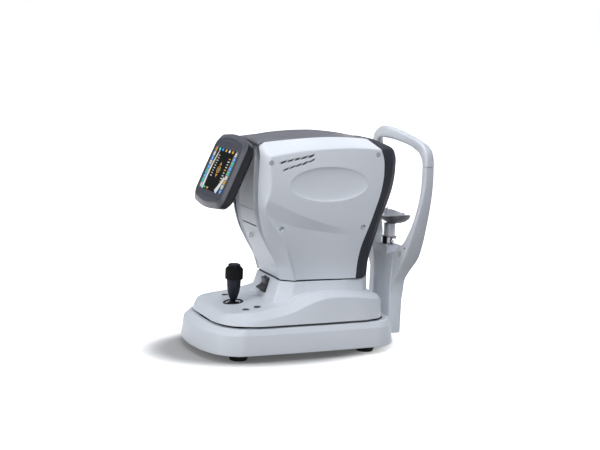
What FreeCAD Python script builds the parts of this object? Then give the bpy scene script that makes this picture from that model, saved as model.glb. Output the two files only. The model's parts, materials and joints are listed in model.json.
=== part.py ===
"""Autorefractor with keratometer: a tabletop eye-measuring instrument.

Millimetres, +Z up.  X = 0 is the plane of symmetry.  The operator sits at -Y and the patient at +Y,
so +X is on the operator's right hand.  The origin lies under the middle of the whole instrument, on
the surface that it stands on.
"""
import FreeCAD, Part
import math
import os
import re
import Sketcher
from FreeCAD import Placement, Rotation, Vector

doc = FreeCAD.newDocument("autorefractor")
sheet = doc.addObject("Spreadsheet::Sheet", "Sizes")

SIZES = {
    # base
    "base_half_width": 128.5, "base_front": 234, "base_rear": 168, "base_bottom": 14.3,
    "base_top": 64, "base_rear_radius": 58, "wall": 3,
    "foot_radius": 18, "foot_tip_radius": 16, "foot_offset_x": 88, "foot_front": 164, "foot_back": 104,
    "plate_bottom": 15.3, "plate_thickness": 2.5,
    # slides
    "rod_radius": 5, "bush_bore": 5.05, "bush_radius": 8, "bush_length": 24,
    "rail_offset_x": 50, "rail_half_length": 122, "rail_height": 34,
    "rod_offset_y": 45, "rod_half_length": 104, "rod_height": 75, "bush_offset_x": 30,
    # stage
    "stage_bottom": 67, "chassis_bottom": 86, "chassis_top": 89, "neck_top": 140.5,
    # joystick
    "stick_y": -143, "pivot_height": 84, "socket_radius": 20, "socket_bore": 15.5,
    "grip_neck_radius": 8, "grip_top_radius": 15, "grip_top": 141, "spindle_radius": 7.95,
    "ring_radius": 18, "ring_bore": 8, "ring_top": 165, "cap_radius": 13, "cap_top": 168,
    # deck buttons and rocker
    "button_radius": 7, "rocker_width": 26,
    # head lift
    "guide_radius": 6, "guide_bore": 6.05, "guide_offset_x": 38, "guide_top": 232,
    "lift_y": 10, "lift_screw_radius": 4, "lift_nut_bore": 4.05, "lift_screw_top": 226,
    "motor_radius": 16, "motor_top": 128,
    # head
    "head_bottom": 143.5, "shell": 2.8, "optic_height": 338,
    # monitor
    "monitor_half_width": 78, "monitor_half_height": 76, "monitor_corner_height": 68,
    "lcd_width": 115.2, "lcd_height": 86.4, "lcd_y": -183.9, "lcd_z": 350.8, "monitor_tilt": 23.7,
    "hinge_y": -130.5, "hinge_z": 386, "hinge_pin_radius": 2,
    # printer
    "paper_radius": 20, "core_radius": 6, "paper_half_width": 28.5, "roll_y": -94, "roll_z": 282,
    "door_half_width": 34.6,
    # chin rest and headrest
    "pole_y": 194, "pole_radius": 12, "pole_bottom": 112, "pole_top": 239, "collar_radius": 16,
    "collar_bore": 12.06, "collar_bottom": 196, "collar_top": 211, "cup_y": 203,
    "cup_half_width": 42, "cup_half_depth": 31, "cup_bottom": 238,
    "column_half_width": 45, "column_front": 168.5, "column_rear": 208, "column_top": 196,
}
for row, (alias, number) in enumerate(SIZES.items(), start=1):
    sheet.set(f"A{row}", alias)
    sheet.set(f"B{row}", str(number))
    sheet.setAlias(f"B{row}", alias)
doc.recompute()

MIRRORED = (1, -1)
TERM = re.compile(r"([+-]?)\s*([a-z_]+|[0-9.]+)")


def value(term):
    """Number of a plain number, or of a sum of sheet names and numbers such as 'base_top-wall'."""
    if not isinstance(term, str):
        return float(term)
    total = 0.0
    for sign, word in TERM.findall(term):
        amount = float(sheet.get(word)) if word in SIZES else float(word)
        total += -amount if sign == "-" else amount
    return total


def bind(obj, prop, term):
    """Set a property from a number, or bind it to the sheet when the term names cells."""
    if isinstance(term, str):
        text = TERM.sub(lambda m: m.group(1) + ("Sizes." if m.group(2) in SIZES else "") + m.group(2), term)
        obj.setExpression(prop, text)
    else:
        obj.setExpression(prop, str(term))


# ---- bodies, primitives and groups ----------------------------------------------------------------

def place(obj, at=(0, 0, 0), turn=None):
    """Put an object at a place given by terms, after an optional Rotation."""
    if turn is not None:
        obj.Placement = Placement(Vector(0, 0, 0), turn)
    for axis, term in zip("xyz", at):
        bind(obj, f"Placement.Base.{axis}", term)
    return obj


def box(name, corner, size):
    obj = doc.addObject("Part::Box", name)
    for prop, term in zip(("Length", "Width", "Height"), size):
        bind(obj, prop, term)
    return place(obj, corner)


ALONG = {"x": Rotation(Vector(0, 1, 0), 90), "y": Rotation(Vector(1, 0, 0), -90), "z": Rotation()}


def cylinder(name, radius, length, at, along="z"):
    """Cylinder that starts at a point and runs along +X, +Y or +Z."""
    obj = doc.addObject("Part::Cylinder", name)
    bind(obj, "Radius", radius)
    bind(obj, "Height", length)
    return place(obj, at, ALONG[along])


def cut(name, base, tools):
    tool = tools[0] if len(tools) == 1 else fuse(name + "_cutter", tools)
    obj = doc.addObject("Part::Cut", name)
    obj.Base = base
    obj.Tool = tool
    return obj


def fuse(name, parts):
    obj = doc.addObject("Part::MultiFuse", name)
    obj.Shapes = parts
    return obj


def group(name, parts):
    """Separate solids that share one node, such as identical fasteners."""
    obj = doc.addObject("Part::Compound", name)
    obj.Links = parts
    return obj


def feature(name, shape):
    obj = doc.addObject("Part::Feature", name)
    obj.Shape = shape
    return obj


def body_sketch(body, name, role, points, offset=0):
    """Closed polyline on one of the body's own origin planes, each corner bound to the sheet."""
    sketch = body.newObject("Sketcher::SketchObject", name)
    plane = next(f for f in body.Origin.OriginFeatures if f.Role == role)
    sketch.AttachmentSupport = [(plane, "")]
    sketch.MapMode = "FlatFace"
    if offset:
        bind(sketch, "AttachmentOffset.Base.z", offset)
    spots = [Vector(value(a), value(b), 0) for a, b in points]
    count = len(spots)
    for i in range(count):
        sketch.addGeometry(Part.LineSegment(spots[i], spots[(i + 1) % count]), False)
    for i in range(count):
        sketch.addConstraint(Sketcher.Constraint("Coincident", i, 2, (i + 1) % count, 1))
    for i, (a, b) in enumerate(points):
        for kind, term, axis in (("DistanceX", a, -2), ("DistanceY", b, -1)):
            if abs(value(term)) < 1e-9:
                sketch.addConstraint(Sketcher.Constraint("PointOnObject", i, 1, axis))
            else:
                datum = sketch.addConstraint(Sketcher.Constraint(kind, -1, 1, i, 1, value(term)))
                bind(sketch, f"Constraints[{datum}]", term)
    return sketch


def turned(name, profile, at=(0, 0, 0), turn=None):
    """Piece made on a lathe: a profile of (radius, height) revolved about its own Z axis."""
    body = doc.addObject("PartDesign::Body", name)
    sketch = body_sketch(body, name + "_profile", "XZ_Plane", profile)
    revolution = body.newObject("PartDesign::Revolution", name + "_turn")
    revolution.Profile = sketch
    revolution.ReferenceAxis = (sketch, ["V_Axis"])
    revolution.Angle = 360
    return place(body, at, turn)


def padded(name, role, outline, length, offset=0, at=(0, 0, 0), turn=None):
    """Prism of an outline on an origin plane, from offset, along the plane's normal."""
    body = doc.addObject("PartDesign::Body", name)
    sketch = body_sketch(body, name + "_outline", role, outline, offset)
    pad = body.newObject("PartDesign::Pad", name + "_pad")
    pad.Profile = sketch
    bind(pad, "Length", length)
    return place(body, at, turn)


# ---- outlines and lofts for moulded covers --------------------------------------------------------

def rounded_wire(corners, height):
    """Closed level outline whose corners (x, y, radius) are arcs joined by straight sides."""
    points = [Vector(x, y, height) for x, y, _ in corners]
    arcs = []
    for i, (x, y, radius) in enumerate(corners):
        here = points[i]
        before = (points[i - 1] - here).normalize()
        after = (points[(i + 1) % len(points)] - here).normalize()
        half = before.getAngle(after) / 2
        reach = radius / math.tan(half)
        middle = here + (before + after).normalize() * (radius / math.sin(half) - radius)
        arcs.append((here + before * reach, middle, here + after * reach))
    edges = []
    for i, (start, middle, stop) in enumerate(arcs):
        edges.append(Part.Arc(start, middle, stop).toShape())
        edges.append(Part.makeLine(stop, arcs[(i + 1) % len(arcs)][0]))
    return Part.Wire(edges)


def polygon(points):
    return Part.makePolygon(points + [points[0]])


def loft(wires):
    return Part.makeLoft(wires, True, True)


def inset_corners(corners, inset):
    """Corners (x, y, radius) of a closed outline that runs counter-clockwise, moved in from every side."""
    moved = []
    for i, (x, y, radius) in enumerate(corners):
        here = Vector(x, y, 0)
        before = (here - Vector(*corners[i - 1][:2], 0)).normalize()
        after = (Vector(*corners[(i + 1) % len(corners)][:2], 0) - here).normalize()
        reach = inset / (1 + before.dot(after))
        moved.append((x - (before.y + after.y) * reach, y + (before.x + after.x) * reach, radius - inset))
    return moved


def base_plan(inset, height):
    """Plan of the base: a rounded nose in three steps on each side, and wide rear corners.

    The arc at the tip passes 1.1 mm behind its corner.
    """
    half = value("base_half_width")
    front = -value("base_front")
    right = [(0, front - 1.1, 200), (58, front + 5, 120), (102, front + 23, 70), (half - 3, front + 54, 55),
             (half, -60, 300), (half - 4, value("base_rear"), value("base_rear_radius"))]
    left = [(-x, y, r) for x, y, r in reversed(right[1:])]
    return rounded_wire(inset_corners(right + left, inset), height)


def neck_plan(inset, height, front, half, rear):
    """Plan of the neck: flat front, chamfered front corners, straight sides, rounded rear."""
    front_flat = half - 20
    right = [(front_flat, -front + inset, 6), (half - 3 - inset, -front + 27, 10),
             (half - inset, 60, 60), (half - 8 - inset, rear - 24, 16), (half - 34, rear - inset, 16)]
    left = [(-x, y, r) for x, y, r in reversed(right)]
    return rounded_wire(right + left, height)


# ---- base -----------------------------------------------------------------------------------------

def base_cover():
    top = value("base_top")
    bottom = value("base_bottom")
    wall = value("wall")
    outside = loft([base_plan(3, bottom), base_plan(0, bottom + 3), base_plan(4, top - 10),
                    base_plan(9.5, top)])
    inside = loft([base_plan(3 + wall, bottom - 1), base_plan(wall, bottom + 3),
                   base_plan(4 + wall, top - 10), base_plan(8 + wall, top - wall)])
    shell = feature("base_cover_moulding", outside.cut(inside))
    slot = box("base_cover_slot", (-50, -104, 40), (100, 172, 30))
    inlet = box("base_cover_inlet_hole", (-132, 46, 23), (12, 28.4, 21.4))
    return cut("base_cover", shell, [slot, inlet])


def base_plate():
    """Folded steel floor with four rail blocks welded to it."""
    bottom = value("plate_bottom")
    floor = feature("base_plate_floor", Part.Face(base_plan(6.6, bottom)).extrude(
        Vector(0, 0, value("plate_thickness"))))
    blocks = []
    bores = []
    for side in MIRRORED:
        for y in (-124, 112):
            x = side * value("rail_offset_x")
            blocks.append(box(f"rail_block_{side}_{y}".replace("-", "m"), (x - 9, y, bottom), (18, 12, 28)))
        bores.append(cylinder(f"rail_bore_{side}".replace("-", "m"), "rod_radius", 260,
                              (side * value("rail_offset_x"), -130, "rail_height"), "y"))
    return cut("base_plate", fuse("base_plate_blocks", [floor] + blocks), bores)


def rubber_feet():
    feet = []
    for side in MIRRORED:
        for y in ("-foot_front", "foot_back"):
            feet.append(turned(f"foot_{len(feet)}", [
                (2.5, 4), (7, 4), (7, 0), ("foot_tip_radius", 0), ("foot_radius", 5),
                ("foot_radius", "plate_bottom"), (2.5, "plate_bottom")],
                (side * value("foot_offset_x"), y, 0)))
    return group("rubber_feet", feet)


def base_screws():
    """Foot screws and cover screws, driven from below."""
    screws = []
    spots = [(s * value("foot_offset_x"), value(y)) for s in MIRRORED for y in ("-foot_front", "foot_back")]
    for x, y in spots:
        screws.append(turned(f"foot_screw_{len(screws)}", [
            (0, 1), (4.5, 1), (4.5, 4), (2.3, 4), (2.3, 15), (0, 15)], (x, y, 0)))
    for side in MIRRORED:
        for y in (-90, 40):
            screws.append(turned(f"cover_screw_{len(screws)}", [
                (0, 12.8), (3.5, 12.8), (3.5, 15.2), (0, 15.2)], (side * 110, y, 0)))
    return group("base_screws", screws)


def y_rails():
    return group("y_rails", [
        cylinder(f"y_rail_{i}", "rod_radius", "rail_half_length+rail_half_length",
                 (side * value("rail_offset_x"), "-rail_half_length", "rail_height"), "y")
        for i, side in enumerate(MIRRORED)])


def mains_inlet():
    """Three-pin inlet in the side wall of the base, facing -X."""
    case = box("inlet_case", (-128, 46.2, 23.2), (28, 28, 21))
    well = box("inlet_well", (-131, 48.7, 25.7), (17, 23, 16))
    bite = cut("inlet_case_hollow", case, [well])
    pins = [box(f"inlet_pin_{i}", (-122, y, z), (9, 2, 5)) for i, (y, z) in
            enumerate(((52.2, 30), (59.2, 34), (66.2, 30)))]
    return fuse("mains_inlet", [bite] + pins)


def power_board():
    top = value("plate_bottom") + value("plate_thickness")
    parts = [box("power_board_laminate", (-40, 122, top + 5), (80, 36, 1.6)),
             box("power_transformer", (-36, 126, top + 6), (30, 26, 18)),
             box("power_connector", (8, 140, top + 6), (24, 9, 10)),
             cylinder("power_capacitor", 7, 20, (12, 131, top + 6)),
             cylinder("power_capacitor_small", 5, 16, (28, 131, top + 6))]
    parts += [cylinder(f"power_standoff_{x}_{y}".replace("-", "m"), 3, 6, (x, y, top))
              for x in (-37, 37) for y in (127, 154)]
    return fuse("power_board", parts)


# ---- headrest -------------------------------------------------------------------------------------

# stations of one headrest arm: outer (x, z), inner (x, z), front y, rear y
ARM = (((45, 116), (45, 195.5), 184, 208), ((62, 145), (60, 197), 184, 211), ((80, 175), (73, 209), 186, 219),
       ((91, 205), (82.5, 227), 189, 221.5), ((101, 242), (89.5, 250), 194, 222.5),
       ((110, 282), (96, 280), 199, 223), ((116, 330), (100, 322), 203, 223),
       ((117, 366), (100.5, 366), 203, 222))
# stations of one half of the forehead arch, from the post to the middle
ARCH = (((117, 366.4), (100.5, 366.4), 203, 222), ((114, 392), (97, 374), 203, 220),
        ((105, 403.5), (88, 388), 201, 217), ((90, 413.5), (74, 398), 195, 209),
        ((70, 421), (60, 403.5), 189, 202), ((50, 427), (45, 407), 183, 195),
        ((30, 432), (27, 410.5), 176.5, 188), ((0, 436), (0, 412), 172, 183))


def station(side, outer, inner, front, rear):
    return polygon([Vector(side * outer[0], rear, outer[1]), Vector(side * outer[0], front, outer[1]),
                    Vector(side * inner[0], front, inner[1]), Vector(side * inner[0], rear, inner[1])])


def headrest_column():
    """Hollow column with a stepped front, a boss for the chin pole and an open foot."""
    half = value("column_half_width")
    front = value("column_front")
    rear = value("column_rear")

    def plan(height, near, far, width, bevel):
        return polygon([Vector(-width, near, height), Vector(width, near, height),
                        Vector(width, far - bevel, height), Vector(width - bevel, far, height),
                        Vector(-width + bevel, far, height), Vector(-width, far - bevel, height)])
    lower = loft([plan(18, front, rear + 1, half + 1, 12), plan(60, front, rear, half, 11),
                  plan(128, front, rear, half, 10), plan(150, 184, rear, half, 9),
                  plan(value("column_top"), 184, rear, half, 8)])
    boss = loft([polygon([Vector(-8, 186, 130), Vector(-4, 179, 130), Vector(4, 179, 130),
                          Vector(8, 186, 130)]),
                 polygon([Vector(-28, 186, 196), Vector(-15, 178.2, 196), Vector(15, 178.2, 196),
                          Vector(28, 186, 196)])])
    hollow = loft([plan(17, front + 4, rear - 3, half - 3, 12), plan(100, front + 4, rear - 4, half - 4, 10)])
    solid = feature("column_casting", lower.fuse(boss).cut(hollow))
    bore = cylinder("column_bore", 12.8, 110, (0, "pole_y", 90))
    return cut("headrest_column", solid, [bore])


def headrest_arm(name, side):
    return feature(name, loft([station(side, *row) for row in ARM]))


def forehead_arch():
    wires = [station(1, *row) for row in ARCH] + [station(-1, *row) for row in reversed(ARCH[:-1])]
    return feature("forehead_arch", loft(wires))


def forehead_pad():
    """Moulded pad on the patient's side of the arch."""
    half = []
    for outer, inner, _, rear in ARCH[5:]:
        half.append((outer[0], outer[1] - 3, inner[0], inner[1] + 3, rear + 0.4))

    def section(side, row):
        x_high, high, x_low, low, y = row
        return polygon([Vector(side * x_high, y, high), Vector(side * x_low, y, low),
                        Vector(side * x_low, y + 6, low), Vector(side * x_high, y + 6, high)])
    return feature("forehead_pad", loft([section(1, row) for row in half] +
                                        [section(-1, row) for row in reversed(half[:-1])]))


def headrest_screws():
    """Cap screws: two through each arm root, and two short ones in the forehead pad's carrier."""
    screws = []
    for side in MIRRORED:
        screws.append(turned(f"arm_screw_{len(screws)}", [
            (0, 0), (5, 0), (5, 2.4), (0, 2.4)], (side * 66, 183.9, 186), ALONG["y"].inverted()))
        screws.append(turned(f"column_screw_{len(screws)}", [
            (0, 0), (4, 0), (4, 2), (0, 2)], (side * 30, 168.4, 50), ALONG["y"].inverted()))
    return group("headrest_screws", screws)


def pole_collar():
    return cut("pole_collar", turned("pole_collar_ring", [
        ("collar_bore", "collar_bottom"), ("collar_radius", "collar_bottom"),
        ("collar_radius", "collar_top-1"),
        ("collar_radius-1", "collar_top"), ("collar_bore", "collar_top")], (0, "pole_y", 0)),
        [cylinder("collar_tapping", 2.6, 12, (11, "pole_y", 204), "x")])


def collar_thumbscrew():
    return turned("collar_thumbscrew", [(0, 0), (2.5, 0), (2.5, 5), (6, 5), (6, 12), (5, 13), (0, 13)],
                  (12.4, "pole_y", 204), ALONG["x"])


def chin_motor():
    can = cylinder("chin_motor_can", 10, 38, (0, "pole_y", 52))
    gearbox = cylinder("chin_motor_gearbox", 9, 5, (0, "pole_y", 90))
    bracket = box("chin_motor_bracket", (-20, 180, 49), (40, 24, 3))
    bore = cylinder("chin_motor_bore", 3.3, 12, (0, "pole_y", 86))
    return cut("chin_motor", fuse("chin_motor_body", [can, gearbox, bracket]), [bore])


def chin_screw():
    return turned("chin_screw", [(0, 88), (3, 88), (3, 168), (2, 170), (0, 170)], (0, "pole_y", 0))


def chin_pole():
    return turned("chin_pole", [
        (3.05, "pole_bottom"), ("pole_radius", "pole_bottom"), ("pole_radius", "pole_top-2"),
        (6, "pole_top-2"), (6, "pole_top+4"), (0, "pole_top+4"), (0, 192), (3.8, 192), (3.8, 124),
        (3.05, 124)], (0, "pole_y", 0))


def chin_cup():
    """Shallow saddle-shaped cup on the pole's spigot."""
    wide = value("cup_half_width")
    deep = value("cup_half_depth")
    bottom = value("cup_bottom")

    def oval(height, across, along, shift=0.0):
        ellipse = Part.Ellipse(Vector(0, shift, height), across, along)
        return Part.Wire([ellipse.toShape()])
    outer = Part.makeLoft([oval(bottom, 19, 15), oval(bottom + 6, 34, 24), oval(bottom + 13, 41, 30),
                           oval(bottom + 20, wide, deep)], True, False)
    inner = Part.makeLoft([oval(bottom + 9, 18, 10), oval(bottom + 12, 30, 20), oval(bottom + 16, 37, 26),
                           oval(bottom + 21, 40, 29)], True, False)
    cup = feature("chin_cup_moulding", outer.cut(inner))
    place(cup, (0, "cup_y", 0))
    socket = cylinder("chin_cup_socket", 6.05, 6, (0, "pole_y", "pole_top-2"))
    seat = cylinder("chin_cup_seat", 12.2, 0.9, (0, "pole_y", "cup_bottom-1"))
    pin_holes = [cylinder(f"chin_cup_pin_hole_{i}", 1.5, 8, (s * 35, "cup_y+3", "cup_bottom+13"))
                 for i, s in enumerate(MIRRORED)]
    return cut("chin_cup", cup, [socket, seat] + pin_holes)


def paper_pins():
    """Two pins that hold the stack of chin papers."""
    return group("paper_pins", [turned(f"paper_pin_{i}", [
        (0, 251), (1.5, 251), (1.5, 261), (2.8, 261), (2.8, 263.5), (0, 264.5)], (s * 35, "cup_y+3", 0))
        for i, s in enumerate(MIRRORED)])


# ---- slides ---------------------------------------------------------------------------------------

def cross_slide_frame():
    """Frame that runs on the Y rails inside the base and carries the X bushings above it."""
    parts = [box("slide_plate", (-64, -58, 46), (128, 116, 4))]
    bores = []
    for side in MIRRORED:
        x = side * value("rail_offset_x")
        tag = "right" if side > 0 else "left"
        for y in (-58, 33):
            parts.append(box(f"slide_foot_{tag}_{y}".replace("-", "m"), (x - 11, y, 24), (22, 25, 22)))
        bores.append(cylinder(f"slide_foot_bore_{tag}", "bush_radius", 130, (x, -65, "rail_height"), "y"))
        for y in MIRRORED:
            at = y * value("rod_offset_y")
            parts.append(box(f"slide_riser_{tag}_{y}".replace("-", "m"),
                             (side * value("bush_offset_x") - 12, at - 11, 50), (24, 22, 35)))
    for y in MIRRORED:
        bores.append(cylinder(f"slide_riser_bore_{y}".replace("-", "m"), "bush_radius", 100,
                              (-50, y * value("rod_offset_y"), "rod_height"), "x"))
    return cut("cross_slide_frame", fuse("cross_slide_blank", parts), bores)


def slide_bushings():
    """Eight plain bushings: four on the Y rails and four on the X rods."""
    profile = [("bush_bore", 0), ("bush_radius", 0), ("bush_radius", "bush_length"),
               ("bush_bore", "bush_length")]
    bushings = []
    for side in MIRRORED:
        for y in (-57.5, 33.5):
            bushings.append(turned(f"y_bushing_{len(bushings)}", profile,
                                   (side * value("rail_offset_x"), y, "rail_height"), ALONG["y"]))
        for y in MIRRORED:
            bushings.append(turned(f"x_bushing_{len(bushings)}", profile,
                                   (side * value("bush_offset_x") - 12, y * value("rod_offset_y"),
                                    "rod_height"),
                                   ALONG["x"]))
    return group("slide_bushings", bushings)


def x_rods():
    return group("x_rods", [
        cylinder(f"x_rod_{i}", "rod_radius", "rod_half_length+rod_half_length",
                 ("-rod_half_length", y * value("rod_offset_y"), "rod_height"), "x")
        for i, y in enumerate(MIRRORED)])


# ---- stage ----------------------------------------------------------------------------------------

# stations of the stage cover along Y: y, bottom half-width, lower ridge x and z, upper ridge x and z, deck z
STAGE = ((-205, 44, 42, 70, 40, 73, 73), (-201, 68, 65, 72.5, 58, 77.5, 77.5),
         (-191, 89, 85, 73.5, 73, 86, 85), (-176, 104, 99, 75, 85, 90, 87),
         (-155, 113, 107.5, 76.5, 93, 91.5, 89.3), (-135, 117.5, 111.5, 78, 97, 92.5, 91),
         (-96, 119.4, 112, 83, 97, 98.7, 97), (-66, 119.4, 112, 90, 96, 106, 103),
         (-42, 119.4, 111, 99, 91, 117, 117), (0, 119, 111, 114, 90, 122.4, 122),
         (45, 118, 110, 115.5, 90, 121, 121), (99, 114.6, 107, 109, 90, 116, 116),
         (122, 107.6, 101, 105.5, 86, 113, 113), (131, 97, 92, 104, 80, 110, 110),
         (136, 80, 77, 100, 70, 104, 104))
DECK_BUTTONS = {"print_button": (66, -143, 91.4), "mode_button": (63, -118, 94.6),
                "menu_button": (-63, -135, 92)}


def stage_section(row, inset, drop):
    y, bottom, low_x, low_z, high_x, high_z, deck = row
    floor = value("stage_bottom") - (1 if inset else 0)
    half = [(bottom - inset, floor), (low_x - inset, low_z - drop), (high_x - inset, high_z - drop),
            (high_x - 14 - inset, deck - drop)]
    shift = inset if y < -150 else (-inset if y > 110 else 0)
    return polygon([Vector(x, y + shift, z) for x, z in half] +
                   [Vector(-x, y + shift, z) for x, z in reversed(half)])


def neck_block(inset, low, high):
    """Solid neck between two levels: its front leans forward as it goes down."""
    lean = (value("neck_top") - low) * 0.3
    return loft([neck_plan(inset, low, 72 + lean, 76 + lean * 0.25, 126),
                 neck_plan(inset, high, 72, 76, 126)])


def stage_cover():
    outside = loft([stage_section(row, 0, 0) for row in STAGE])
    inside = loft([stage_section(row, value("wall"), value("wall")) for row in STAGE])
    moulding = outside.cut(inside).cut(neck_block(-0.3, 60, value("neck_top") + 5))
    shell = feature("stage_moulding", moulding)
    holes = [cylinder(f"{name}_hole", "button_radius+0.35", 30, (x, y, 70))
             for name, (x, y, _) in DECK_BUTTONS.items()]
    holes.append(cylinder("stick_hole", "socket_radius+0.3", 40, (0, "stick_y", 65)))
    return cut("stage_cover", shell, holes)


def neck_cover():
    """Neck on the stage, open at the top for the lift sleeve, with a recess for the rocker."""
    outside = neck_block(0, 89.3, value("neck_top"))
    inside = neck_block(value("wall"), 80, value("neck_top") + 5)
    shell = feature("neck_moulding", outside.cut(inside))
    hole = box("rocker_hole", (-14, -100, 108.5), (28, 60, 29.5))
    return cut("neck_cover", shell, [hole])


def stage_chassis():
    bottom = value("chassis_bottom")
    plate = box("chassis_plate", (-104, -62, "chassis_bottom"), (208, 150, "chassis_top-chassis_bottom"))
    front = box("chassis_tongue", (-24, -172, 80.5), (48, 112, 2))
    step = box("chassis_step", (-24, -64, 80.5), (48, 4, 8))
    blocks = []
    bores = []
    for y in MIRRORED:
        at = y * value("rod_offset_y")
        tag = "back" if y > 0 else "front"
        for side in MIRRORED:
            blocks.append(box(f"rod_block_{tag}_{side}".replace("-", "m"),
                              (side * 100 - 5, at - 9, 69), (10, 18, bottom - 69)))
        bores.append(cylinder(f"rod_bore_{tag}", "rod_radius", 230, (-115, at, "rod_height"), "x"))
    bores.append(cylinder("stick_clearance", 18.2, 20, (0, "stick_y", 70)))
    bores.append(cylinder("lift_clearance", 5, 20, (0, "lift_y", 80)))
    return cut("stage_chassis", fuse("chassis_blank", [plate, front, step] + blocks), bores)


def lift_guides():
    return group("lift_guides", [
        cylinder(f"lift_guide_{i}", "guide_radius", "guide_top-chassis_top",
                 (side * value("guide_offset_x"), "lift_y", "chassis_top"))
        for i, side in enumerate(MIRRORED)])


def lift_motor():
    can = cylinder("lift_motor_can", "motor_radius", "motor_top-chassis_top", (0, "lift_y", "chassis_top"))
    bore = cylinder("lift_motor_bore", 4.3, 14, (0, "lift_y", "motor_top-12"))
    return cut("lift_motor", can, [bore])


def lift_screw():
    return turned("lift_screw", [
        (0, "motor_top-10"), ("lift_screw_radius", "motor_top-10"), ("lift_screw_radius", "lift_screw_top-1"),
        ("lift_screw_radius-1", "lift_screw_top"), (0, "lift_screw_top")], (0, "lift_y", 0))


def button_boards():
    boards = [box("board_right", (50, -158, 77), (28, 50, 1.6)),
              box("board_left", (-76, -150, 77), (26, 30, 1.6))]
    for name, (x, y, top) in DECK_BUTTONS.items():
        boards.append(box(f"{name}_switch", (x - 3, y - 3, 78.5), (6, 6, top - 10.4 - 78.5)))
    right = fuse("button_board_right", [boards[0], boards[2], boards[3]])
    left = fuse("button_board_left", [boards[1], boards[4]])
    return group("button_boards", [right, left])


def deck_button(name):
    x, y, top = DECK_BUTTONS[name]
    return turned(name, [(0, top - 9), (3, top - 9), (3, top - 6), ("button_radius", top - 6),
                         ("button_radius", top - 1), ("button_radius-1", top), (0, top)], (x, y, 0))


def rocker():
    """Rocker for the chin rest: two flats meeting at a blunt ridge, and a pivot stub each side."""
    key = padded("rocker_key", "YZ_Plane", [(8, -13), (-3.5, -14), (-7, -12.5), (0, 0), (-1.5, 13), (8, 13)],
                 "rocker_width", -13, (0, -80, 123.5))
    pivot = cylinder("rocker_pivot", 2, "rocker_width+1.4", ("-rocker_width/2-0.7", -75, 123.5), "x")
    return fuse("rocker", [key, pivot])


# ---- joystick -------------------------------------------------------------------------------------

def joystick_socket():
    flange = turned("socket_ring", [
        ("socket_bore", "pivot_height-5"), (17.6, "pivot_height-5"), (17.6, 86), ("socket_radius", 86),
        ("socket_radius", 94), (18.5, 96), ("socket_bore", 96)], (0, "stick_y", 0))
    pins = [cylinder("socket_pin_right", 1.5, 3.2, (13.6, "stick_y", "pivot_height"), "x"),
            cylinder("socket_pin_left", 1.5, 3.2, (-16.8, "stick_y", "pivot_height"), "x")]
    return fuse("joystick_socket", [flange] + pins)


def gimbal_ring():
    ring = turned("gimbal_blank", [(10.5, "pivot_height-3"), (14.2, "pivot_height-3"),
                                   (14.2, "pivot_height+3"), (10.5, "pivot_height+3")], (0, "stick_y", 0))
    bore = cylinder("gimbal_x_bore", 1.55, 40, (-20, "stick_y", "pivot_height"), "x")
    pins = [cylinder("gimbal_pin_back", 1.5, 4, (0, "stick_y+7", "pivot_height"), "y"),
            cylinder("gimbal_pin_front", 1.5, 4, (0, "stick_y-11", "pivot_height"), "y")]
    return fuse("gimbal_ring", [cut("gimbal_bored", ring, [bore])] + pins)


def joystick_grip():
    """Tapered grip on a stem, with a spindle for the height ring and a bore for the button."""
    stick = turned("grip_blank", [
        (0, 69), (5, 69), (5, 72), (4, 75), (9, 80), (9, 87), (5, 90), ("grip_neck_radius", 97),
        (10, 116), (13.5, 134), ("grip_top_radius", 138), ("grip_top_radius-0.5", "grip_top-0.3"),
        ("spindle_radius", "grip_top-0.3"), ("spindle_radius", 162), (3.1, 162), (3.1, 148), (0, 148)],
        (0, "stick_y", 0))
    bore = cylinder("grip_gimbal_bore", 1.55, 40, (0, "stick_y-20", "pivot_height"), "y")
    return cut("joystick_grip", stick, [bore])


def height_ring():
    """Knurled ring: turning it raises and lowers the head."""
    blank = turned("height_ring_blank", [
        ("ring_bore", "grip_top"), ("ring_radius-1.5", "grip_top"), ("ring_radius", "grip_top+1.5"),
        ("ring_radius", "ring_top-2"), ("ring_radius-2", "ring_top"), (13.5, "ring_top"), (13.5, 162.4),
        ("ring_bore", 162.4)], (0, "stick_y", 0))
    grooves = []
    for i in range(30):
        angle = math.radians(i * 12)
        x = (value("ring_radius") + 0.6) * math.cos(angle)
        y = value("stick_y") + (value("ring_radius") + 0.6) * math.sin(angle)
        grooves.append(cylinder(f"knurl_{i}", 1.3, 17, (x, y, "grip_top+3")))
    return cut("height_ring", blank, grooves)


def joystick_button():
    return turned("joystick_button", [
        (0, 152), (3.05, 152), (3.05, 164.2), ("cap_radius", 164.2), ("cap_radius", "cap_top-1.5"),
        ("cap_radius-1.5", "cap_top"), (0, "cap_top")], (0, "stick_y", 0))


# ---- head -----------------------------------------------------------------------------------------

# side shell by height: z, front edge x and y, bevel corner x and y, rear edge x and y
SIDE = ((143.5, 56, -71, 73, -44, 76, 83), (176, 58, -82, 78, -56, 78.5, 84), (203, 61, -97, 81, -65, 81, 88),
        (235, 64, -113, 83.5, -86, 83.5, 99), (253, 65, -118.5, 84.5, -99, 84.5, 105),
        (284, 66, -125.5, 85, -111, 85, 115.5), (314, 66, -127.5, 85.5, -111, 85.5, 124.5),
        (357, 66, -126.5, 85.5, -112, 85.5, 129), (382, 66, -125.5, 84, -113, 84, 126),
        (396, 65.5, -125, 79, -116, 80, 120), (405, 64.5, -125, 72, -120, 73, 114),
        (412, 62.5, -124, 66, -122, 63.2, 110))
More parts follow.
